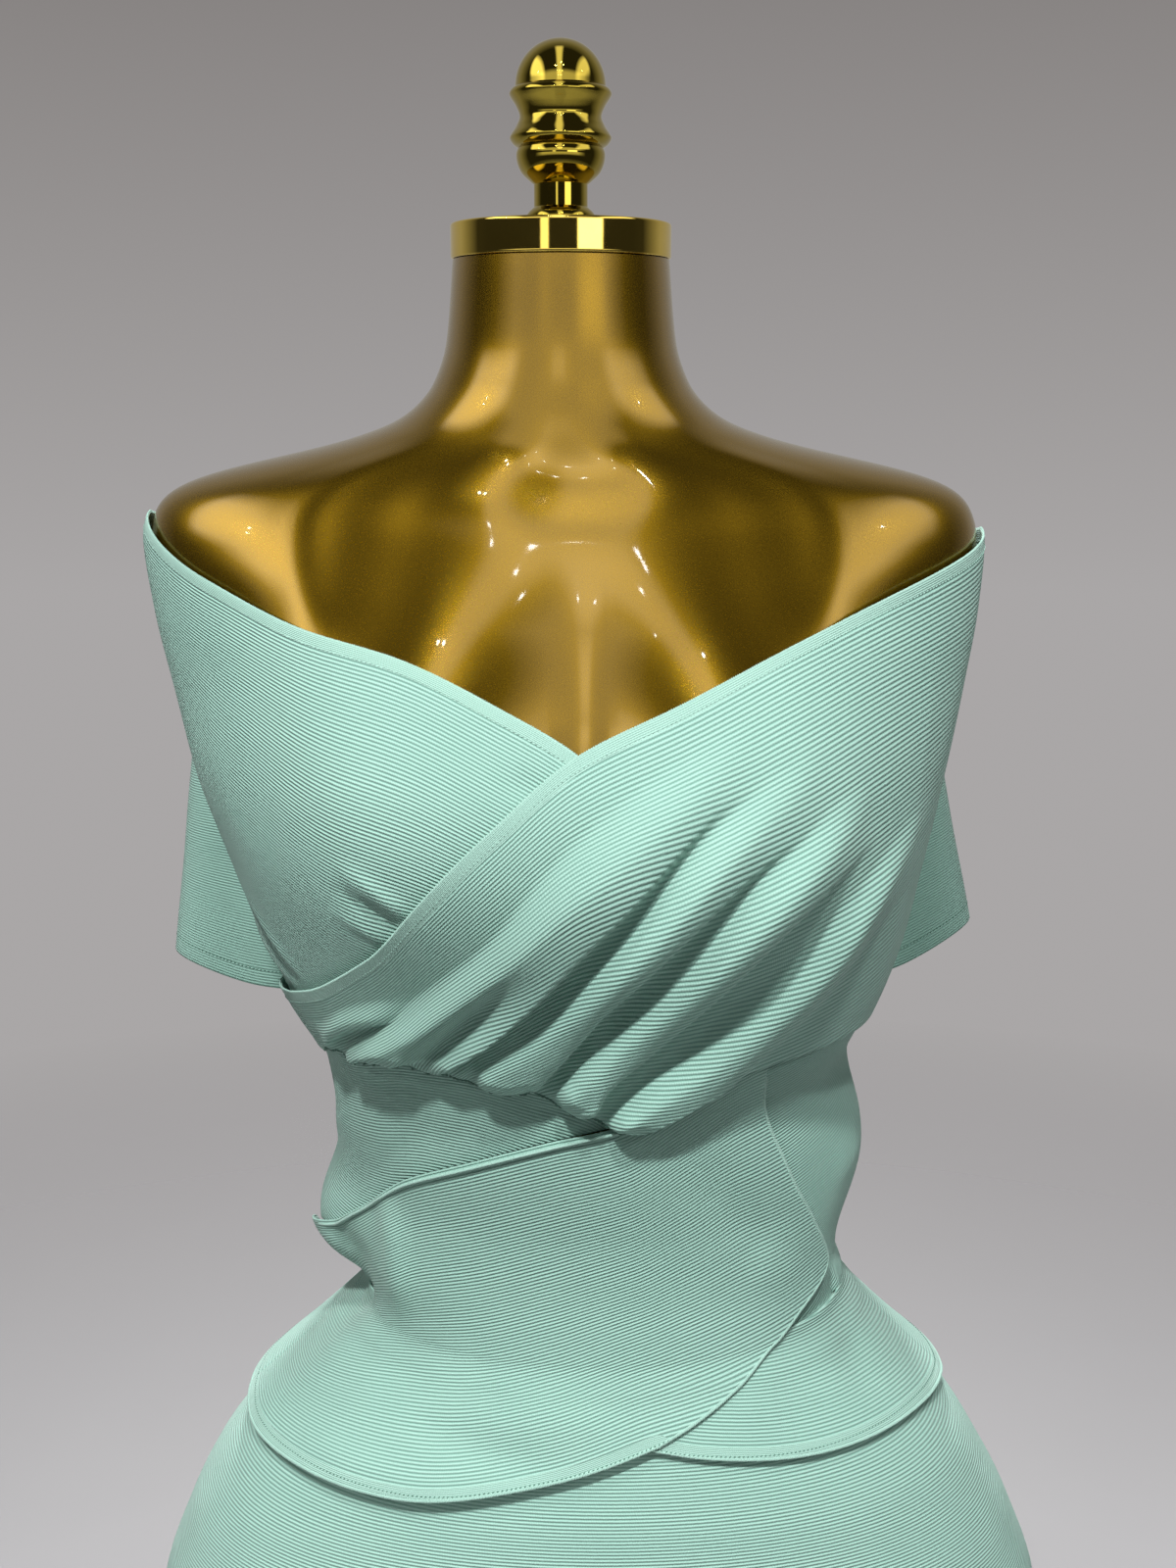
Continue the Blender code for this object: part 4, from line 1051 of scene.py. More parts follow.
def makeUnderWrap():
    settings = underWrap
    along, up = evenly(settings["columns"]), evenly(settings["rows"])
    lower = curvePoints(moved(gatherSeam, settings["gatherTuck"])[::-1], along)
    upper = curvePoints(necklineUnder, along)
    right = curvePoints((lower[-1], settings["hiddenEdge"], upper[-1]), up)
    grid = ruledPatch(lower, upper, along, up, end=right)
    grid[..., 0] = np.maximum(grid[..., 0], -sideSeam + seamAngle)
    angle, height = grid[..., 0], grid[..., 1]
    lift = layer(0) + creases(settings["creases"], angle, height)
    ribs = (height - readPairs(angle, necklineUnder)) * settings["ribStretch"]
    wall = wornCloth("bodiceUnderWrap", "bodice_under_wrap", grid, lift, ribs,
                     edgeBand=edgeDistance(grid, "upper"))
    trims = edgeTrims("underWrap", wall, "neck", 4, lift=-0.0005, inset=0.0052)


# Bodice: the wrap on top, gathered at its left end.
# Each fold lies between its top line and its sharp lower edge, both as (angle, height) places; flank is
# the share of it, at each angle, over which it rises from the valley above.
topWrap = {
    "columns": ((0.0, -89.8), (0.07, -60.0), (0.84, 47.0), (1.0, 89.8)),
    "columnCount": 270,
    "rowCount": 142,
    "flat": (0.46, 0.24),
    "cutArea": 0.072,
    "seam": ((-90, 1.1500), (-66, 1.1545), (-60, 1.1600), (-53, 1.1640), (-49, 1.1605), (-44, 1.1628),
             (-39, 1.1655), (-34.5, 1.1664), (-30, 1.1648), (-25, 1.1636), (-20, 1.1608), (-15.5, 1.1570),
             (-12, 1.1568), (-9.5, 1.1582), (-6.5, 1.1552), (-3.5, 1.1500), (-0.5, 1.1470), (2.7, 1.1450),
             (5.5, 1.1412), (8.5, 1.1385)),
    "folds": (
        {"top": ((-62, 1.172), (-54, 1.1770), (-50.5, 1.1820), (-45, 1.1900), (-36.5, 1.1985),
                 (-26, 1.2060)),
         "edge": ((-62, 1.160), (-54, 1.1680), (-50.5, 1.1735), (-45, 1.1810), (-36.5, 1.1895),
                  (-26, 1.1960)),
         "flank": ((-54, 0.7), (-30, 0.7)),
         "high": 0.0042, "sag": 0.05, "drop": 0.0013, "lead": 0.1, "start": (-60, -53), "fade": (-38, -27)},
        {"top": ((-62, 1.150), (-47, 1.1685), (-37.5, 1.1830), (-27, 1.2020), (-19, 1.2190), (-12, 1.2350),
                 (-5.8, 1.2540), (0, 1.2710), (8, 1.2900), (26, 1.3220)),
         "edge": ((-45, 1.148), (-28, 1.1650), (-22.5, 1.1760), (-14.2, 1.1945), (-7.2, 1.2145),
                  (-1.2, 1.2325), (4.5, 1.2475), (9.8, 1.2610), (15, 1.2750), (20.2, 1.2875), (27, 1.2980)),
         "flank": ((-48, 0.22), (-14, 0.26), (2, 0.50), (20, 0.75)),
         "high": 0.0108, "sag": 0.16, "drop": 0.0019, "lead": 0.1, "start": (-54, -46), "fade": (5, 27)},
        {"top": ((-24, 1.158), (-19.5, 1.1665), (-15.8, 1.1780), (-8.2, 1.1945), (-1.8, 1.2120),
                 (4.2, 1.2290), (10, 1.2455), (15.5, 1.2620), (20.8, 1.2760), (32, 1.2960), (40, 1.3080)),
         "edge": ((-14, 1.152), (-9.8, 1.1590), (-6.2, 1.1720), (-2.2, 1.1860), (1, 1.1980), (4, 1.2095),
                  (9.8, 1.2270), (15, 1.2420), (20.5, 1.2550), (26, 1.2655), (32, 1.2740), (40, 1.2840)),
         "flank": ((-18, 0.26), (0, 0.30), (20, 0.45)),
         "high": 0.0108, "sag": 0.26, "drop": 0.0018, "lead": 0.4, "start": (-22, -17.5),
         "fade": (14, 38)},
        {"top": ((-8, 1.150), (-4.2, 1.1590), (-1, 1.1720), (4, 1.1880), (10, 1.2070), (15.8, 1.2240),
                 (21.5, 1.2395), (27, 1.2540), (42, 1.2820), (54, 1.2980)),
         "edge": ((-1, 1.142), (2, 1.1500), (4.2, 1.1660), (10.2, 1.1840), (16, 1.2010), (21.5, 1.2175),
                  (27, 1.2335), (32.8, 1.2460), (38.8, 1.2555), (44, 1.2620), (54, 1.2740)),
         "flank": ((-2, 0.26), (12, 0.30), (32, 0.45)),
         "high": 0.0110, "sag": 0.26, "drop": 0.0018, "lead": 0.4, "start": (-6.5, -3.0),
         "fade": (24, 53)},
        {"top": ((3, 1.137), (6.5, 1.1475), (11.5, 1.1615), (17.8, 1.1755), (23.8, 1.1905), (29.8, 1.2045),
                 (36, 1.2190), (42.5, 1.2350), (51, 1.2500), (64, 1.2680)),
         "edge": ((6, 1.128), (10.8, 1.1400), (18.5, 1.1530), (24.5, 1.1670), (30.2, 1.1840), (36.2, 1.2000),
                  (42.5, 1.2150), (50, 1.2320), (62, 1.2480)),
         "flank": ((8, 0.28), (40, 0.45)),
         "high": 0.0098, "sag": 0.22, "drop": 0.0062, "lead": 0.4, "start": (2.0, 6.5),
         "fade": (36, 70)},
    ),
    # small puckers where the gathering meets the seam, a dent along the first fold, softer creases beyond
    "creases": (
        ((-32, 1.1680), (-9, 1.2290), -0.0072, 0.0040, -0.003),
        ((-24, 1.1690), (0, 1.2420), 0.0032, 0.0034, -0.005),
        ((-24, 1.1620), (-17, 1.1770), 0.0026, 0.0021, 0.0),
        ((-38, 1.1640), (-31, 1.1790), 0.0020, 0.0020, 0.0),
        ((-34.5, 1.1650), (-29, 1.1750), -0.0018, 0.0016, 0.0),
        ((-6.8, 1.1550), (-1.5, 1.1690), 0.0026, 0.0021, 0.0),
        ((-1.8, 1.1470), (2.5, 1.1600), 0.0022, 0.0019, 0.0),
        ((4.5, 1.1410), (9.5, 1.1530), 0.0020, 0.0019, 0.0),
        ((-57, 1.1610), (-50, 1.1720), 0.0022, 0.0024, 0.0),
        ((-46, 1.1610), (-41, 1.1700), -0.0016, 0.0018, 0.0),
        ((-13, 1.1560), (-8, 1.1640), -0.0018, 0.0018, 0.0),
        ((14, 1.1430), (34, 1.1650), 0.0012, 0.0040, 0.0),
        ((40, 1.2700), (60, 1.3000), -0.0010, 0.0090, 0.0),
        ((40, 1.3300), (66, 1.3520), -0.0010, 0.0120, 0.0),
        ((60, 1.2100), (82, 1.2500), -0.0014, 0.0080, 0.0),
        ((56, 1.1860), (84, 1.2050), -0.0016, 0.0060, 0.0),
    ),
    "overhang": 0.25,
    "ribDrift": 0.65,
    # how tall the family of ribs is at each angle: they fan out to the right
    "ribReach": ((-90, 0.115), (-52, 0.130), (-22, 0.151), (8, 0.190), (34, 0.2175), (60, 0.233),
                 (90, 0.240)),
    "ribSpan": 0.158,
    "riseRun": 0.013,                  # the folds reach their height this far from the seam
    "riseSlope": 0.46,
    "seamStep": 0.0019,                # the wrap's stand off the layer below, at the seam
    "seamStitchesAndShadow": (-64, 8.5),
    "leavesUnderWrap": (42, 80),
    "meetsSash": (-4, 10),
}


def gatherFolds(angle, height, fromSeam):
    rise = np.clip(fromSeam / topWrap["riseRun"], 0.0, 1.0) ** topWrap["riseSlope"]
    total = 0.0 * angle
    for fold in topWrap["folds"]:
        top, edge = readPairs(angle, fold["top"]), readPairs(angle, fold["edge"])
        flank = readPairs(angle, fold["flank"])
        share = (top - height) / np.maximum(top - edge, 0.004)
        body = ramp(share, -fold["lead"], flank)
        past = np.clip((share - flank) / np.maximum(1 - flank, 0.05), 0, 1)
        body = body - fold["sag"] * past ** 2
        under = (1 - fold["sag"]) * bell((edge - height) * 0.75, fold["drop"])
        body = np.where(height < edge, under, body)
        reach = ramp(angle, *fold["start"]) * (1 - ramp(angle, *fold["fade"]))
        total = np.maximum(total, fold["high"] * rise * reach * body)
    return total


def distanceFrom(angle, height, line):
    # distance of each place from a line of (angle, height) points
    spots = np.linspace(line[0][0], line[-1][0], 160)
    levels = np.interp(spots, firstOf(line), secondOf(line))
    least = np.full(angle.shape, 1.0)
    for spot, level in zip(spots, levels):
        least = np.minimum(least, np.hypot((angle - spot) * metresPerDegree, height - level))
    return least


def blurred(values, rounds):
    for _ in range(rounds):
        padded = np.pad(values, 1, mode="edge")
        values = (padded[1:-1, 1:-1] * 4 + padded[:-2, 1:-1] + padded[2:, 1:-1]
                  + padded[1:-1, :-2] + padded[1:-1, 2:]) / 8
    return values


def makeTopWrap():
    settings = topWrap
    knots = settings["columns"]
    angles = np.interp(evenly(settings["columnCount"]), firstOf(knots), secondOf(knots))
    seam = settings["seam"]
    lowerRight = readPairs(angles, wrapLowerEdge) - 0.0005
    lowerLeft = np.interp(angles, firstOf(seam), secondOf(seam))
    lower = np.where(angles < seam[-1][0], lowerLeft, lowerRight)
    upper = readPairs(angles, necklineTop)
    up = evenly(settings["rowCount"])[:, None]
    height = lower + (upper - lower) * up
    angle = angles + 0.0 * height
    grid = np.stack([angle, height], axis=-1)
    fromSeam = distanceFrom(angle, height, seam)
    overUnder = 1 - ramp(angle, *settings["leavesUnderWrap"])
    overSash = (1 - ramp(up, 0.05, 0.30)) * ramp(angle, *settings["meetsSash"])
    folds = blurred(gatherFolds(angle, height, fromSeam), 1)
    seamStep = settings["seamStep"]
    step = seamStep + (wrapStep - seamStep) * ramp(fromSeam, 0.0, 0.03)
    base = layer(0) + step * overUnder + layerStep * overSash
    lift = np.maximum(base + folds + creases(settings["creases"], angle, height), base - 0.0001)
    tall = readPairs(angle, settings["ribReach"])
    ribs = (height - settings["ribDrift"] * folds - upper) / tall * settings["ribSpan"]
    wall = wornCloth("bodiceTopWrap", "bodice_top_wrap", grid, lift, ribs,
                     slide=-settings["overhang"] * folds, edgeBand=edgeDistance(grid, "upper"))
    trims = edgeTrims("topWrap", wall, "neck", 6)
    # the gather seam's stitches in the dark seam yarn are partly real stitching and partly a painted shadow
    # line where the folds overhang the seam
    points, normals = gridLine(wall, "lower", out=0.0010, lift=-0.0002)
    first, last = settings["seamStitchesAndShadow"]
    keep = (angles > first) & (angles < last)
    trims.append(trimRow("gatherStitchesAndSeamShadow", [(points[keep], normals[keep])], "seam", seamYarn, 11))


# Midriff
midriff = {
    "left": {"columns": 100, "rows": 48, "flat": (0.20, 0.10), "cutArea": 0.013, "tuck": 0.0060,
             "creases": (((-70, 1.135), (-30, 1.128), -0.0022, 0.0090, 0.0),
                         ((-86, 1.100), (-62, 1.118), 0.0018, 0.0080, 0.0),
                         ((-50, 1.150), (-22, 1.150), -0.0010, 0.0035, 0.0),
                         ((-16, 1.150), (0, 1.142), -0.0008, 0.0025, 0.0))},
    "right": {"columns": 48, "rows": 66, "flat": (0.12, 0.16), "cutArea": 0.0172,
              "edge": ((44, waist + seamRise), (44, 1.060), (36, 1.098), (26, 1.130), (20, midriffTop)),
              "creases": (((58, 1.150), (86, 1.130), -0.0016, 0.0075, 0.0),
                          ((60, 1.090), (84, 1.100), 0.0012, 0.0090, 0.0))},
}


def midriffLeft(settings):
    along, up = evenly(settings["columns"]), evenly(settings["rows"])
    upper = curvePoints(moved(gatherSeam, settings["tuck"])[::-1], along)
    grid = ruledPatch(curvePoints(sashPiped, along), upper, along, up)
    grid[..., 0] = np.maximum(grid[..., 0], -sideSeam + seamAngle)
    angle, height = grid[..., 0], grid[..., 1]
    seam = readPairs(-angle, [(-a, h) for a, h in gatherSeam])
    ribs = (height - seam) * (0.92 - 0.0028 * angle)          # they fan out to the left
    return grid, layer(0) + creases(settings["creases"], angle, height), ribs


def midriffRight(settings):
    along, up = evenly(settings["columns"]), evenly(settings["rows"])
    edge = curvePoints(settings["edge"], up)
    seam = sideSeam - seamAngle
    side = straight((seam, waist + seamRise), (seam, midriffTop), up)
    lower, upper = straight(edge[0], side[0], along), straight(edge[-1], side[-1], along)
    grid = patch(lower, upper, edge, side, along, up)
    angle, height = grid[..., 0], grid[..., 1]
    lift = layer(0) + creases(settings["creases"], angle, height)
    # beside the sash the lower edge comes out to meet the peplum
    lift = lift + layerStep * ramp(angle, 68, 73) * (1 - ramp(height, waist + 0.001, waist + 0.015))
    return grid, lift, height - 0.0006 * angle


def makeMidriff():
    for side, laidOut in (("left", midriffLeft), ("right", midriffRight)):
        settings = midriff[side]
        grid, lift, ribs = laidOut(settings)
        wall = wornCloth("midriff" + side.capitalize(), "midriff_" + side, grid, lift, ribs)


# Sash and peplum
sash = {
    "columns": 150,
    "rows": 110,
    "flat": (0.34, 0.23),
    "cutArea": 0.0435,
    "rolledShare": 0.93,               # of the free end, up from the hem
    "flare": 0.0045,
    "flareLevels": (0.945, 1.005),
    "crossing": (-62, -38),            # where it passes over the peplum
    "crossingLevels": (1.030, 1.085),
    "creases": (
        ((-84, 1.000), (-58, 1.062), -0.0040, 0.0100, 0.0),     # tuck at the left of the waist
        ((-78, 1.062), (-55, 1.040), -0.0030, 0.0075, 0.0),
        ((-50, 1.090), (-50, 1.028), 0.0036, 0.0062, 0.002),
        ((-94, 1.048), (-60, 1.078), 0.0030, 0.0055, 0.0),
        ((-74, 0.975), (-48, 1.040), 0.0026, 0.0110, 0.0),
        ((-48, 1.010), (-36, 0.975), -0.0014, 0.0110, 0.0),
        ((-36, 0.985), (-6, 0.972), -0.0016, 0.0060, 0.0),
        ((-22, 1.000), (4, 0.990), 0.0012, 0.0080, 0.0),
        ((20, 1.120), (42, 1.060), -0.0018, 0.0100, 0.0),
        ((36, 1.065), (50, 1.045), 0.0012, 0.0090, 0.0),
        ((-60, 0.962), (-20, 0.960), 0.0010, 0.0050, 0.0),
    ),
    "ribTop": sashTop + ((60, 1.190), (90, 1.200)),
    "ribHem": sashHem + ((30, 0.991), (62, 1.000), (90, 1.004)),
    "ribSpan": 0.150,
}


piping = {
    "steps": 200,
    "end": -85.0,
    "drop": 0.0015,
    "rise": 0.0011,
    "tuck": 0.0020,                    # sinks into the side seam by this much
    "radius": 0.0007,
}


def peplumFlare(height):
    return sash["flare"] * (1 - ramp(height, *sash["flareLevels"]))


def sashLift(angle, height):
    crossing = ramp(angle, *sash["crossing"]) * (1 - ramp(height, *sash["crossingLevels"]))
    return layer(1) + layerStep * crossing + peplumFlare(height)


def makeSash():
    settings = sash
    along, up = evenly(settings["columns"]), evenly(settings["rows"])
    lower = curvePoints(sashHem, along)
    upper = curvePoints(sashTop, along)
    grid = patch(lower, upper, straight(lower[0], upper[0], up), curvePoints(sashRight, up), along, up)
    grid[..., 0] = np.maximum(grid[..., 0], -sideSeam + seamAngle)
    angle, height = grid[..., 0], grid[..., 1]
    lift = sashLift(angle, height) + creases(settings["creases"], angle, height)
    top, bottom = readPairs(angle, settings["ribTop"]), readPairs(angle, settings["ribHem"])
    ribs = (height - bottom) / (top - bottom) * settings["ribSpan"]
    wall = wornCloth("sashFront", "sash_front", grid, lift, ribs, edgeBand=edgeDistance(grid, "lower"))
    points, normals = gridLine(wall, "end", out=0.0006, lift=-0.0004)
    rolled = int(settings["rolledShare"] * len(points))
    trims = edgeTrims("sash", wall, "hem", 8, [(points[:rolled], normals[:rolled])])
    trims + [makePiping()]


def makePiping():
    settings = piping
    run = curvePoints(sashPiped, evenly(settings["steps"]))
    angle, height = run[run[:, 0] > settings["end"]].T - ((0.0,), (settings["drop"],))
    rise = sashLift(angle, height) + clothThickness + settings["rise"]
    rise = rise + creases(sash["creases"], angle, height)
    rise = rise - settings["tuck"] * ramp(-angle, 66, 84)
    outward = surfaceNormal(angle, height, True)
    middle = clothPoint(angle, height, rise)
    core = tube("pipingCore", middle, outward, settings["radius"], edgeYarn)
    beads = stitches("pipingBeads", [(middle, outward)], "rope", edgeYarn, 10)
    return finishPiece(joined("sashPiping", [core, beads]), "mint_edge", "sash_piping")


peplum = {
    "columns": 100,
    "rows": 36,
    "backColumns": 80,
    "backRows": 40,
    "front": {"flat": (0.27, 0.075), "cutArea": 0.0128},
    "back": {"flat": (0.25, 0.085), "cutArea": 0.0176},
    "backDrop": 0.009,
    "creases": (
        ((52, 0.985), (70, 1.012), -0.0016, 0.0080, 0.0),
        ((24, 0.990), (40, 1.010), 0.0010, 0.0080, 0.0),
        ((112, 0.965), (122, 1.005), -0.0020, 0.0090, 0.0),
        ((150, 0.962), (158, 1.004), 0.0018, 0.0100, 0.0),
        ((-118, 0.962), (-126, 1.005), -0.0022, 0.0090, 0.0),
        ((-146, 0.960), (-156, 1.0), 0.0016, 0.0100, 0.0),
    ),
}


def makePeplum():
    settings = peplum
    along, up = evenly(settings["columns"]), evenly(settings["rows"])
    lower = curvePoints(peplumHem, along)
    upper = straight((-30, waist), (sideSeam, waist), along)
    grid = ruledPatch(lower, upper, along, up, start=curvePoints(peplumLeft, up))
    grid[..., 0] = np.minimum(grid[..., 0], sideSeam - seamAngle)
    panels = [("peplumUnder", "peplum_under", grid, peplumHem, "front", 1)]
    along, up = evenly(settings["backColumns"]), evenly(settings["backRows"])
    for side, way in (("Right", 1), ("Left", -1)):
        lower = curvePoints(peplumBackHem, along)
        if way < 0:
            lower[:, 1] -= settings["backDrop"] * (1 - ramp(lower[:, 0], 90, 150))
        grid = ruledPatch(lower, straight((90, waist), (180, waist), along), along, up)
        grid[..., 0] = np.clip(grid[..., 0], sideSeam + seamAngle, 180 - seamAngle)
        grid[..., 0] *= way
        panels.append(("peplumBack" + side, "peplum_back_" + side.lower(), grid, peplumBackHem, "back", way))
    for name, node, grid, hemLine, cut, way in panels:
        angle, height = grid[..., 0], grid[..., 1]
        lift = layer(1) + peplumFlare(height) + creases(settings["creases"], angle, height)
        ribs = height - readPairs(way * angle, hemLine)
        wall = wornCloth(name, node, grid, lift, ribs, edgeBand=edgeDistance(grid, "lower"))
        edgeTrims(name, wall, "hem", 12)


# Back bodice and the band round the shoulders
back = {
    "columns": 64,
    "bodyRows": 52,
    "bandRows": 72,
    "ribSpan": 0.19,
    "flatBody": (0.18, 0.15),
    "flatBand": (0.235, 0.215),
    "areaBand": 0.0435,
    "bandRise": 0.0075,
    "bodyCreases": (
        ((104, 1.060), (140, 1.072), -0.0022, 0.0070, 0.0),
        ((112, 1.100), (150, 1.092), 0.0018, 0.0080, 0.0),
        ((98, 1.130), (124, 1.118), -0.0014, 0.0060, 0.0),
        ((-100, 1.070), (-138, 1.062), -0.0024, 0.0070, 0.0),
        ((-116, 1.104), (-152, 1.096), 0.0018, 0.0080, 0.0),
        ((-100, 1.140), (-130, 1.120), -0.0012, 0.0060, 0.0),
    ),
    "bandCreases": (
        ((170, 1.215), (128, 1.300), 0.0026, 0.0080, 0.002),
        ((172, 1.200), (120, 1.262), -0.0022, 0.0075, 0.0),
        ((172, 1.188), (126, 1.222), 0.0020, 0.0070, 0.0),
        ((-170, 1.212), (-130, 1.292), 0.0024, 0.0080, -0.002),
        ((-172, 1.198), (-118, 1.256), -0.0024, 0.0080, 0.0),
        ((-172, 1.186), (-128, 1.215), 0.0018, 0.0065, 0.0),
    ),
}


def makeBack():
    for side, way in (("Right", 1), ("Left", -1)):
        along, up = evenly(back["columns"]), evenly(back["bodyRows"])
        angles = way * (sideSeam + seamAngle + (90 - 2 * seamAngle) * along)
        low, high = waist + seamRise, bandFoot - bandGap
        angle, height = np.meshgrid(angles, low + (high - low) * up)
        grid = np.stack([angle, height], axis=-1)
        lift = layer(0) + creases(back["bodyCreases"], angle, height)
        wall = wornCloth("bodiceBack" + side, "bodice_back_" + side.lower(), grid, lift, height)

        up = evenly(back["bandRows"])
        top = curvePoints(necklineBack, along)
        if way < 0:
            top[:, 1] += back["bandRise"] * (1 - ramp(top[:, 0], 90, 150))
        bottom = straight((90, bandFoot + bandGap), (180, bandFoot + bandGap), along)
        grid = ruledPatch(bottom, top, along, up)
        grid[..., 0] = np.clip(grid[..., 0], sideSeam + seamAngle, 180 - seamAngle)
        share = (grid[..., 1] - bandFoot) / (readPairs(grid[..., 0], necklineBack) - bandFoot)
        grid[..., 0] *= way
        angle, height = grid[..., 0], grid[..., 1]
        lift = layer(0) + creases(back["bandCreases"], angle, height)
        wall = wornCloth("backBand" + side, "back_band_" + side.lower(), grid, lift, share * back["ribSpan"],
                         edgeBand=edgeDistance(grid, "upper"))
        edgeTrims("backBand" + side, wall, "neck", 14)


# Skirt
skirt = {
    "rows": 90,
    "front": {"flat": (0.59, 0.552), "cutArea": 0.288, "columns": 150},
    "back": {"flat": (0.31, 0.552), "cutArea": 0.153, "columns": 80},
    "hemWidth": 0.022,
    "hemSwell": 0.0006,
    "creases": (
        ((-70, 0.640), (-30, 0.625), -0.0016, 0.0100, 0.0),
        ((60, 0.655), (24, 0.640), 0.0016, 0.0110, 0.0),
        ((-20, 0.560), (22, 0.552), -0.0014, 0.0090, 0.0),
        ((30, 0.600), (72, 0.612), -0.0012, 0.0090, 0.0),
        ((-84, 0.915), (-60, 0.925), -0.0010, 0.0080, 0.0),
        ((100, 0.700), (140, 0.690), -0.0020, 0.0110, 0.0),
        ((150, 0.660), (112, 0.645), 0.0016, 0.0100, 0.0),
        ((-104, 0.706), (-146, 0.694), -0.0020, 0.0110, 0.0),
        ((-150, 0.655), (-110, 0.640), 0.0016, 0.0100, 0.0),
        ((124, 0.930), (166, 0.940), -0.0014, 0.0080, 0.0),
        ((-124, 0.930), (-168, 0.942), -0.0014, 0.0080, 0.0),
    ),
}


def makeSkirt():
    panels = (("skirtFront", "skirt_front", -sideSeam, sideSeam, skirt["front"]),
              ("skirtBackRight", "skirt_back_right", sideSeam, 180.0, skirt["back"]),
              ("skirtBackLeft", "skirt_back_left", -180.0, -sideSeam, skirt["back"]))
    for name, node, first, last, cut in panels:
        angles = np.linspace(first + seamAngle, last - seamAngle, cut["columns"] + 1)
        heights = hem + (waist - hem) * evenly(skirt["rows"])
        angle, height = np.meshgrid(angles, heights)
        grid = np.stack([angle, height], axis=-1)
        lift = layer(0) + creases(skirt["creases"], angle, height) * (1 - ramp(height, 0.94, 0.97))
        lift = lift + bell(height - hem - 0.004, 0.006) * skirt["hemSwell"]
        wall = wornCloth(name, node, grid, lift, height)
        row = dotRow(name + "Hem", wall, ("lower",), skirt["hemWidth"], seamYarn, 16)


# Bow at centre back
bow = {
    "height": 1.196,
    "side": 0.007,
    "gap": 0.022,
    "bulge": 0.011,
    "root": 0.006,
    "foldRoom": 0.019,
    "foldStart": 0.006,
    "foldDeep": 0.013,
    "clearance": 0.0015,
    "thickness": 0.0015,
    "pathSteps": 131,
    "rows": 46,
    "ribSpan": 0.155,
    "stitchInset": 0.0090,
    "loops": (
        {"name": "bowLoopRight", "node": "bow_loop_right", "way": 1, "reach": 0.212, "rise": 0.038,
         "lean": 0.030, "flat": (0.41, 0.16), "cutArea": 0.0550},
        {"name": "bowLoopLeft", "node": "bow_loop_left", "way": -1, "reach": 0.228, "rise": 0.020,
         "lean": 0.018, "flat": (0.44, 0.16), "cutArea": 0.0598},
    ),
    # share of the reach, how tall the loop is there, share of the rise
    "shape": ((0.0, 0.060, 0.0), (0.11, 0.062, 0.0), (0.25, 0.116, 0.03), (0.5, 0.160, 0.16),
              (0.78, 0.156, 0.50), (1.0, 0.134, 1.0)),
    # ripples that spread from the knot: place across the loop, high, width, reach
    "ripples": ((-0.30, 0.0040, 0.010, 0.110), (-0.08, -0.0034, 0.009, 0.130), (0.10, 0.0044, 0.010, 0.120),
                (0.28, -0.0030, 0.009, 0.100), (0.40, 0.0026, 0.008, 0.080)),
    "knotFlat": (0.23, 0.046),
    "knotWidth": 0.046,
    "knotTall": 0.088,
    "knotDeep": 0.034,
    "knotSink": 0.0007,
    "knotSides": 84,
    "knotRows": 40,
    "knotSquareness": 4.0,
    "knotNip": 0.10,
    "pleats": ((0.0011, 3.2, 0.0), (0.0006, 7.1, 1.0)),      # high, how many, phase
}


def backDepth():
    levels = np.linspace(bow["height"] - bow["knotTall"] / 2, bow["height"] + bow["knotTall"] / 2, 9)
    return float(figure("back", levels).max()) + layer(0) + bow["clearance"]


def loopPath(reach):
    # a loop seen from above: out along the front leaf, round the fold, back along the rear leaf
    near = backDepth() - bow["knotSink"] + bow["thickness"] * 2 + pieceGap
    bend = bow["gap"] / 2
    start, end = bow["root"], reach - bow["foldRoom"]
    t = evenly(46)
    frontLeaf = np.stack([start + (end - start) * t, near + bow["bulge"] * np.sin(math.pi * t)], axis=1)
    turn = np.radians(np.linspace(-80, 80, 13))
    foldX = frontLeaf[-1, 0] + bow["foldStart"] + bow["foldDeep"] * np.cos(turn)
    fold = np.stack([foldX, frontLeaf[-1, 1] + bend + bend * np.sin(turn)], axis=1)
    apart = bow["gap"] * (0.42 + 0.58 * ramp(frontLeaf[:, 0], 0.0, 0.09))
    rearLeaf = (frontLeaf + np.stack([0 * apart, apart], axis=1))[::-1]
    whole = np.concatenate([frontLeaf, fold, rearLeaf])
    run = runOf(whole)
    even = np.linspace(0, run[-1], bow["pathSteps"])
    path = np.stack([np.interp(even, run, column) for column in whole.T], axis=1)
    for _ in range(3):
        path[1:-1] = (path[:-2] + 2 * path[1:-1] + path[2:]) / 4
    return path


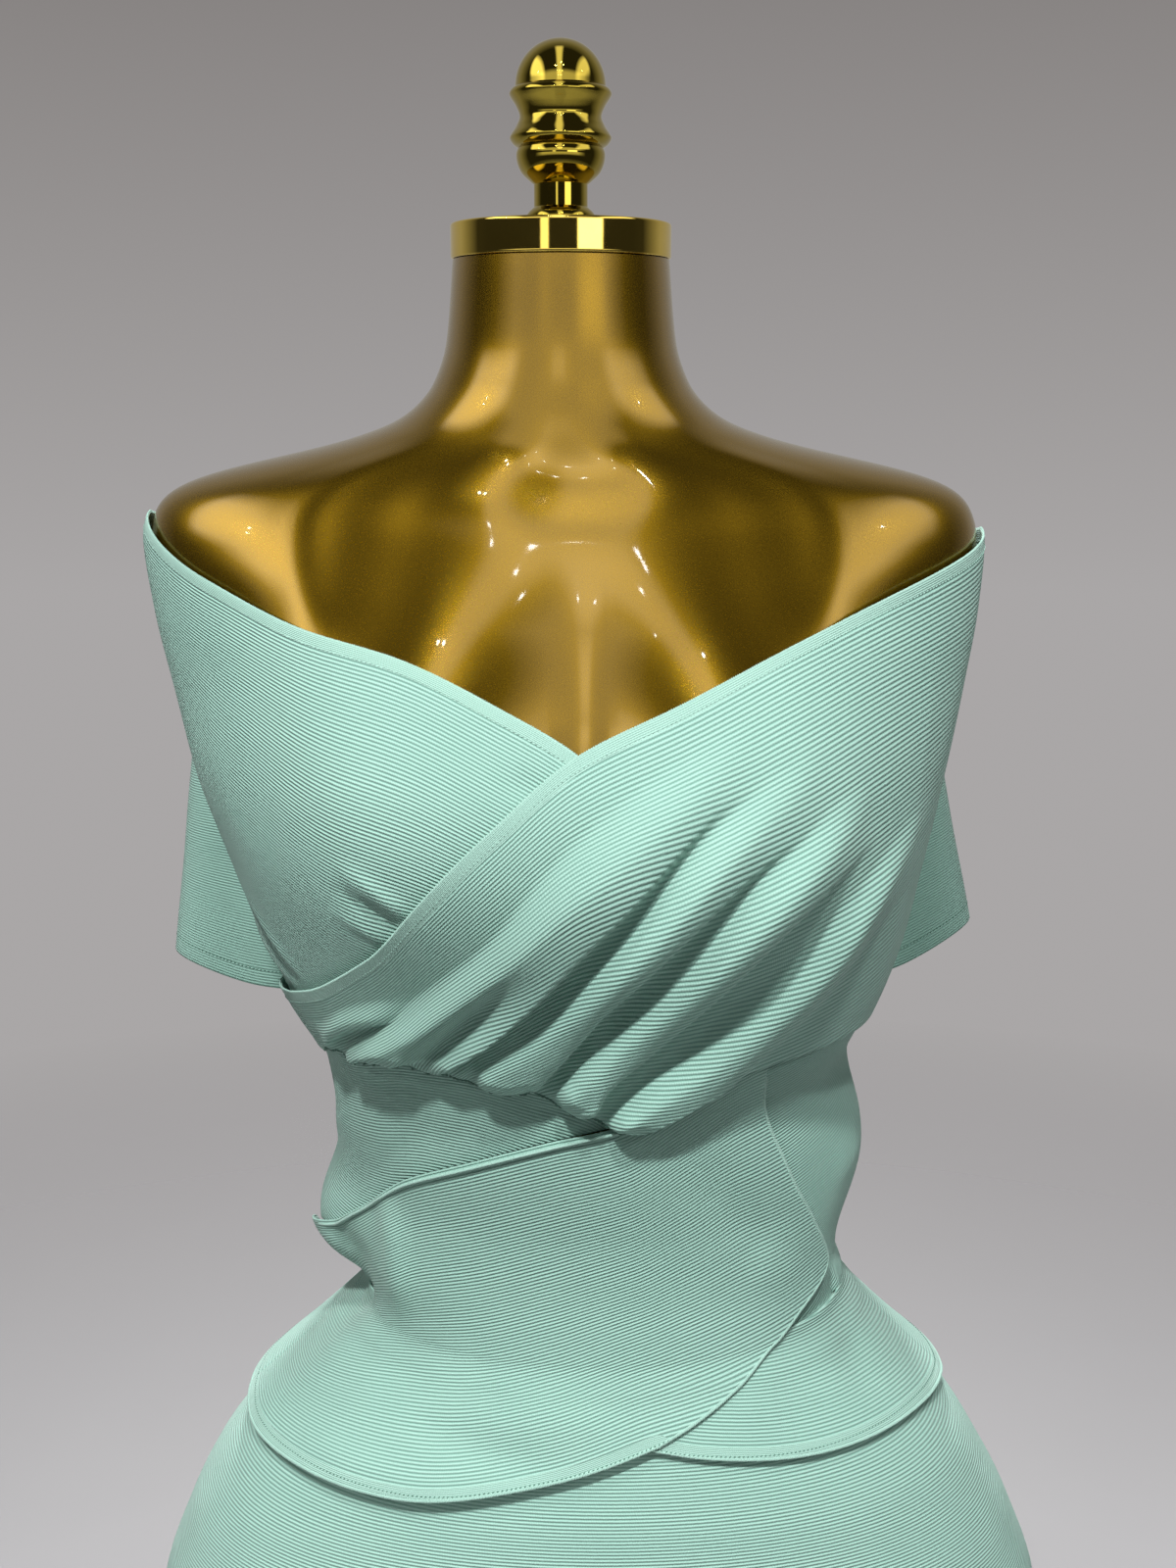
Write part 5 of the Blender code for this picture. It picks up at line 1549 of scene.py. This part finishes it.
def makeBow():
    shape = np.array(bow["shape"])
    up = evenly(bow["rows"])[:, None] - 0.5
    for loop in bow["loops"]:
        path = loopPath(loop["reach"])
        forward = np.gradient(path, axis=0)
        forward /= np.linalg.norm(forward, axis=1, keepdims=True)
        outward = np.stack([forward[:, 1], -forward[:, 0]], axis=1)
        share = np.clip(path[:, 0] / loop["reach"], 0, 1)
        tall = smoothRead(share, shape[:, 0], shape[:, 1])
        middle = bow["height"] + loop["rise"] * smoothRead(share, shape[:, 0], shape[:, 2])
        rearHalf = np.arange(len(path)) > len(path) / 2
        ripple = 0.0
        for place, high, width, reach in bow["ripples"]:
            offset = (up - place * (1 + 0.15 * share)) * tall
            fade = bell(path[:, 0], reach) * ramp(path[:, 0], 0.015, 0.05) * np.where(rearHalf, 1.0, 0.5)
            ripple = ripple + high * bell(offset, width * (1 + 1.2 * share)) * fade
        plan = path + outward * bow["thickness"]
        x = plan[:, 0] + outward[:, 0] * ripple - loop["lean"] * (up + 0.5) * share ** 2
        y = plan[:, 1] + outward[:, 1] * ripple
        points = np.stack([x * loop["way"] - bow["side"], y, middle + tall * up], axis=-1)
        out3d = np.stack([outward[:, 0] * loop["way"], outward[:, 1], 0 * share], axis=-1)[None]
        uv = np.stack(np.broadcast_arrays(runOf(path), up * bow["ribSpan"]), axis=-1)
        wall = clothWall(loop["name"], points, np.broadcast_to(out3d, points.shape), uv, bowKnit)
        piece = finishPiece(wall["piece"], "mint_knit", loop["node"])
        row = dotRow(loop["name"] + "Stitches", wall, ("lower", "upper"), bow["stitchInset"], seamYarn, 17)


def makeKnot():
    around, across = bow["knotSides"], bow["knotRows"]
    tall, deep, skin = bow["knotTall"] / 2, bow["knotDeep"] / 2, bow["thickness"]
    turns = np.arange(around) * 2 * math.pi / around
    outY, outZ = np.cos(turns), np.sin(turns)
    # its section is a rounded rectangle
    power = bow["knotSquareness"]
    reachOut = (np.abs(outY) ** power + np.abs(outZ) ** power) ** (-1 / power)
    ringY, ringZ = (deep + skin) * outY * reachOut, (tall + skin) * outZ * reachOut
    station = evenly(across)[:, None] - 0.5
    pleats = sum(high * np.cos(station * 2 * math.pi * count + phase) for high, count, phase in bow["pleats"])
    swell = pleats * (np.clip(outY, 0, 1) ** 0.5 * 0.9 + 0.1 * (outY > -0.5))
    x = station * bow["knotWidth"] - bow["side"] + 0 * turns
    y = backDepth() - bow["knotSink"] + skin + deep + ringY + swell * outY
    z = bow["height"] + ringZ * (1 - bow["knotNip"] * (1 - (2 * station) ** 2)) + swell * outZ
    outer = np.stack([x, y, z], axis=-1)
    inner = outer - np.stack([0 * turns, outY, outZ], axis=-1) * skin
    far = (across + 1) * around
    faces = []
    for s in range(across):
        for k in range(around):
            a, b = s * around + k, s * around + (k + 1) % around
            faces.append((a, b, b + around, a + around))
            faces.append((a + far, a + around + far, b + around + far, b + far))
    for s in (0, across):
        for k in range(around):
            a, b = s * around + k, s * around + (k + 1) % around
            faces.append((a, b, b + far, a + far))
    girth = runOf(np.stack([ringY, ringZ], axis=1))
    uv = np.stack(np.broadcast_arrays(girth, station * bow["knotWidth"]), axis=-1).reshape(-1, 2)
    vertices = np.concatenate([outer.reshape(-1, 3), inner.reshape(-1, 3)])
    knot = addMesh("bowKnot", vertices, faces, bowKnit, np.concatenate([uv, uv]), sharpAngle=70.0)
    finishPiece(knot, "mint_knit", "bow_knot")


makeUnderWrap()
makeTopWrap()
makeMidriff()
makePeplum()
makeSash()
print("front of the dress made")
makeBack()
makeSkirt()
makeKnot()
makeBow()
print("back, skirt and bow made")


# Studio
studio = {
    "floorColour": (0.42, 0.412, 0.42),
    "floorRadius": 4.0,
    "floorSides": 64,
    "floorDrop": 0.0005,
    "floorFade": (-0.55, 1.75),        # fades out at the rim
    "floorGrain": (6.0, 4.0),
    "floorGrainTone": 0.97,
    "floorRoughness": 0.8,
    "floorSpecular": 0.1,
    "wallColour": (0.40, 0.385, 0.385),
    "wallTopColour": (0.24, 0.225, 0.22),
    "wallRise": (3.2, 0.35),
    "roomBack": (0.050, 0.049, 0.049),
    "roomFront": (0.020, 0.020, 0.019),
    "roomTop": (0.075, 0.075, 0.077),
    "roomDepth": (1.1, 0.5),
    "roomRise": (1.6, -0.45),
    # ceiling lights: place, size, power
    "lights": (
        ((-0.45, -2.10, 3.90), 0.20, 109.0), ((0.34, -1.82, 3.90), 0.20, 48.0),
        ((-0.45, -1.05, 3.90), 0.20, 17.0), ((2.30, -1.35, 3.00), 0.18, 14.0),
        ((-2.55, -1.45, 2.95), 0.22, 9.0), ((0.00, 1.90, 2.90), 0.30, 75.0),
    ),
    "skirtLamp": {"place": (-0.75, -2.30, 2.00), "target": (-0.02, -0.12, 0.55), "cone": 24.0, "blend": 0.80,
                  "radius": 0.15, "power": 74.0},
    # small lamps that give the gold its glints
    "sparkles": ((-0.39, -1.38), (-0.30, -1.44), (0.23, -1.40), (0.05, -1.10), (-2.55, -1.45), (-2.30, -1.30),
                 (2.20, -1.20)),
    "sparkleRows": ((-2.35, (-0.35, -0.02, 0.21)), (-3.40, (-0.30, 0.12))),
    "sparkleHeight": 2.90,
    "sparkleSize": 0.035,
    "sparklePower": 0.45,
    "rowPower": 0.16,
}
# The room that only the gold mirrors: a bright front, a strip of light overhead, a bright doorway at each
# side, a dim back, and a block and a slit of light level with the cap. Bands across and upward are middle,
# half width and edge sharpness; the other edges are slope and offset.
mirror = {
    "tint": (1.00, 0.97, 0.90),
    "dark": 0.035,
    "levels": {"front": 1.00, "strip": 1.7, "left": 2.7, "right": 1.8, "behind": 0.34},
    "bands": {"strip": (-0.03, 0.06, 14.0), "left": (-0.80, 0.12, 9.0), "right": (0.775, 0.09, 9.0),
              "block": (0.50, 0.17, 25.0), "slit": (-0.27, 0.05, 30.0)},
    "lean": 0.45,
    "ahead": (-6.0, 0.0),
    "frontSides": (-5.0, 4.6),
    "frontTop": (-5.0, 1.1),
    "frontFoot": (8.0, 1.8),
    "stripFoot": (5.0, 1.0),
    "stripBack": (-6.0, 1.6),
    "doorLean": -0.6,
    "doorBack": (-8.0, -2.0),
    "doorFoot": (10.0, -2.6),
    "behindEdge": (2.0, -0.15),
    "capBand": (0.075, 0.05, 40.0),
    "capLevels": {"dark": 0.03, "block": 3.8, "slit": 1.9},
}


def aimedLamp(name, data, place, power, target=(0.0, 0.0, 1.15)):
    data.energy = power
    lamp = addObject(name, data)
    lamp.location = place
    aim = np.array(target) - np.array(place)
    pitch = math.atan2(math.hypot(aim[0], aim[1]), -aim[2])
    lamp.rotation_euler = (pitch, 0.0, math.atan2(-aim[0], aim[1]))
    return lamp


def addLight(name, place, size, power):
    data = bpy.data.lights.new(name, "AREA")
    data.shape = "DISK"
    data.size = size
    return aimedLamp(name, data, place, power)


def makeLights():
    for i, (place, size, power) in enumerate(studio["lights"]):
        addLight("ceilingLight%02d" % i, place, size, power).visible_glossy = False
    low = studio["skirtLamp"]
    data = bpy.data.lights.new("skirtLamp", "SPOT")
    data.spot_size = math.radians(low["cone"])
    data.spot_blend = low["blend"]
    data.shadow_soft_size = low["radius"]
    aimedLamp("skirtLamp", data, low["place"], low["power"], low["target"]).visible_glossy = False
    small = [(x, y, studio["sparklePower"]) for x, y in studio["sparkles"]]
    small += [(x, y, studio["rowPower"]) for y, row in studio["sparkleRows"] for x in row]
    for i, (x, y, power) in enumerate(small):
        addLight("sparkle%02d" % i, (x, y, studio["sparkleHeight"]), studio["sparkleSize"], power)


def stripe(tree, value, middle, half, slope):
    away = mathNode(tree, "ABSOLUTE", mathNode(tree, "SUBTRACT", value, middle))
    return limited(tree, away, -slope, 1.0 + slope * half)


def product(tree, *values):
    result = values[0]
    for value in values[1:]:
        result = mathNode(tree, "MULTIPLY", result, value)
    return result


def mirroredRoom(tree, across, along, upward):
    lift = mathNode(tree, "MULTIPLY_ADD", along, mirror["lean"], upward)
    inFront = limited(tree, along, *mirror["ahead"])
    bands = {name: stripe(tree, across, *values) for name, values in mirror["bands"].items()}
    wide = limited(tree, mathNode(tree, "ABSOLUTE", across), *mirror["frontSides"])
    doorSlant = mathNode(tree, "MULTIPLY_ADD", upward, mirror["doorLean"], along)
    door = product(tree, limited(tree, upward, *mirror["doorFoot"]),
                   limited(tree, doorSlant, *mirror["doorBack"]))
    fields = {
        "front": product(tree, limited(tree, lift, *mirror["frontTop"]), wide, inFront,
                         limited(tree, upward, *mirror["frontFoot"])),
        "strip": product(tree, bands["strip"], limited(tree, lift, *mirror["stripFoot"]),
                         limited(tree, along, *mirror["stripBack"])),
        "left": product(tree, bands["left"], door),
        "right": product(tree, bands["right"], door),
        "behind": limited(tree, along, *mirror["behindEdge"]),
    }
    level = mirror["dark"]
    for name, field in fields.items():
        level = mathNode(tree, "MULTIPLY_ADD", field, mirror["levels"][name], level)
    capLevel = mirror["capLevels"]["dark"]
    for name in ("block", "slit"):
        lit = product(tree, bands[name], inFront)
        capLevel = mathNode(tree, "MULTIPLY_ADD", lit, mirror["capLevels"][name], capLevel)
    capHigh = stripe(tree, upward, *mirror["capBand"])
    besideCap = mathNode(tree, "MULTIPLY_ADD", mathNode(tree, "MULTIPLY", capHigh, inFront), -1.0, 1.0)
    capLevel = product(tree, capLevel, capHigh, inFront)
    level = mathNode(tree, "MULTIPLY_ADD", level, besideCap, capLevel)
    tinted = addNode(tree, "ShaderNodeVectorMath", operation="SCALE")
    return fill(tree, tinted, {0: mirror["tint"], "Scale": level}).outputs[0]


def makeWorld():
    world = bpy.data.worlds.new("studioWorld")
    bpy.context.scene.world = world
    world.use_nodes = True
    tree = world.node_tree
    direction = addNode(tree, "ShaderNodeTexCoord").outputs["Generated"]
    parts = addNode(tree, "ShaderNodeSeparateXYZ", {0: direction}).outputs
    frontToBack = limited(tree, parts["Y"], *studio["roomDepth"])
    room = mixColour(tree, frontToBack, studio["roomFront"], studio["roomBack"])
    room = mixColour(tree, limited(tree, parts["Z"], *studio["roomRise"]), room, studio["roomTop"])
    wallHigh = limited(tree, parts["Z"], *studio["wallRise"])
    wall = mixColour(tree, wallHigh, studio["wallColour"], studio["wallTopColour"])
    path = addNode(tree, "ShaderNodeLightPath").outputs
    seen = mixColour(tree, path["Is Glossy Ray"], room, mirroredRoom(tree, *(parts[axis] for axis in "XYZ")))
    seen = mixColour(tree, path["Is Camera Ray"], seen, wall)
    fill(tree, tree.nodes["Background"], {"Color": seen})


def makeFloor():
    made, tree, place = newMaterial("floorSurface")
    radius = addNode(tree, "ShaderNodeVectorMath", {0: place}, operation="LENGTH").outputs["Value"]
    colour, sides = studio["floorColour"], studio["floorSides"]
    grain = noiseValue(tree, place, *studio["floorGrain"])
    finishMaterial(made, {
        "Alpha": limited(tree, radius, *studio["floorFade"]),
        "Base Color": mixColour(tree, grain, tuple(studio["floorGrainTone"] * c for c in colour), colour),
        "Roughness": studio["floorRoughness"],
        "Specular IOR Level": studio["floorSpecular"],
    })
    turns = 2 * math.pi * np.arange(sides) / sides
    rim = np.stack([np.cos(turns), np.sin(turns), 0 * turns], axis=1) * studio["floorRadius"]
    rim[:, 2] -= studio["floorDrop"]
    addMesh("studioFloor", rim, [tuple(range(sides))], made, recalculate=False)


view = {"place": (-0.006, -0.817, 1.454), "down": 12.75, "lens": 40.5, "sensor": 36.0, "clip": (0.01, 60.0)}


def makeCamera():
    data = bpy.data.cameras.new("camera")
    data.sensor_width = view["sensor"]
    data.lens = view["lens"]
    data.dof.use_dof = False
    data.clip_start, data.clip_end = view["clip"]
    camera = addObject("camera", data)
    camera.location = view["place"]
    camera.rotation_euler = (math.radians(90 - view["down"]), 0.0, 0.0)
    bpy.context.scene.camera = camera
    settings = bpy.context.scene.view_settings
    settings.view_transform = "Standard"
    settings.look = "None"
    settings.exposure = 0.0


makeLights()
makeWorld()
makeFloor()
makeCamera()
print("studio made")
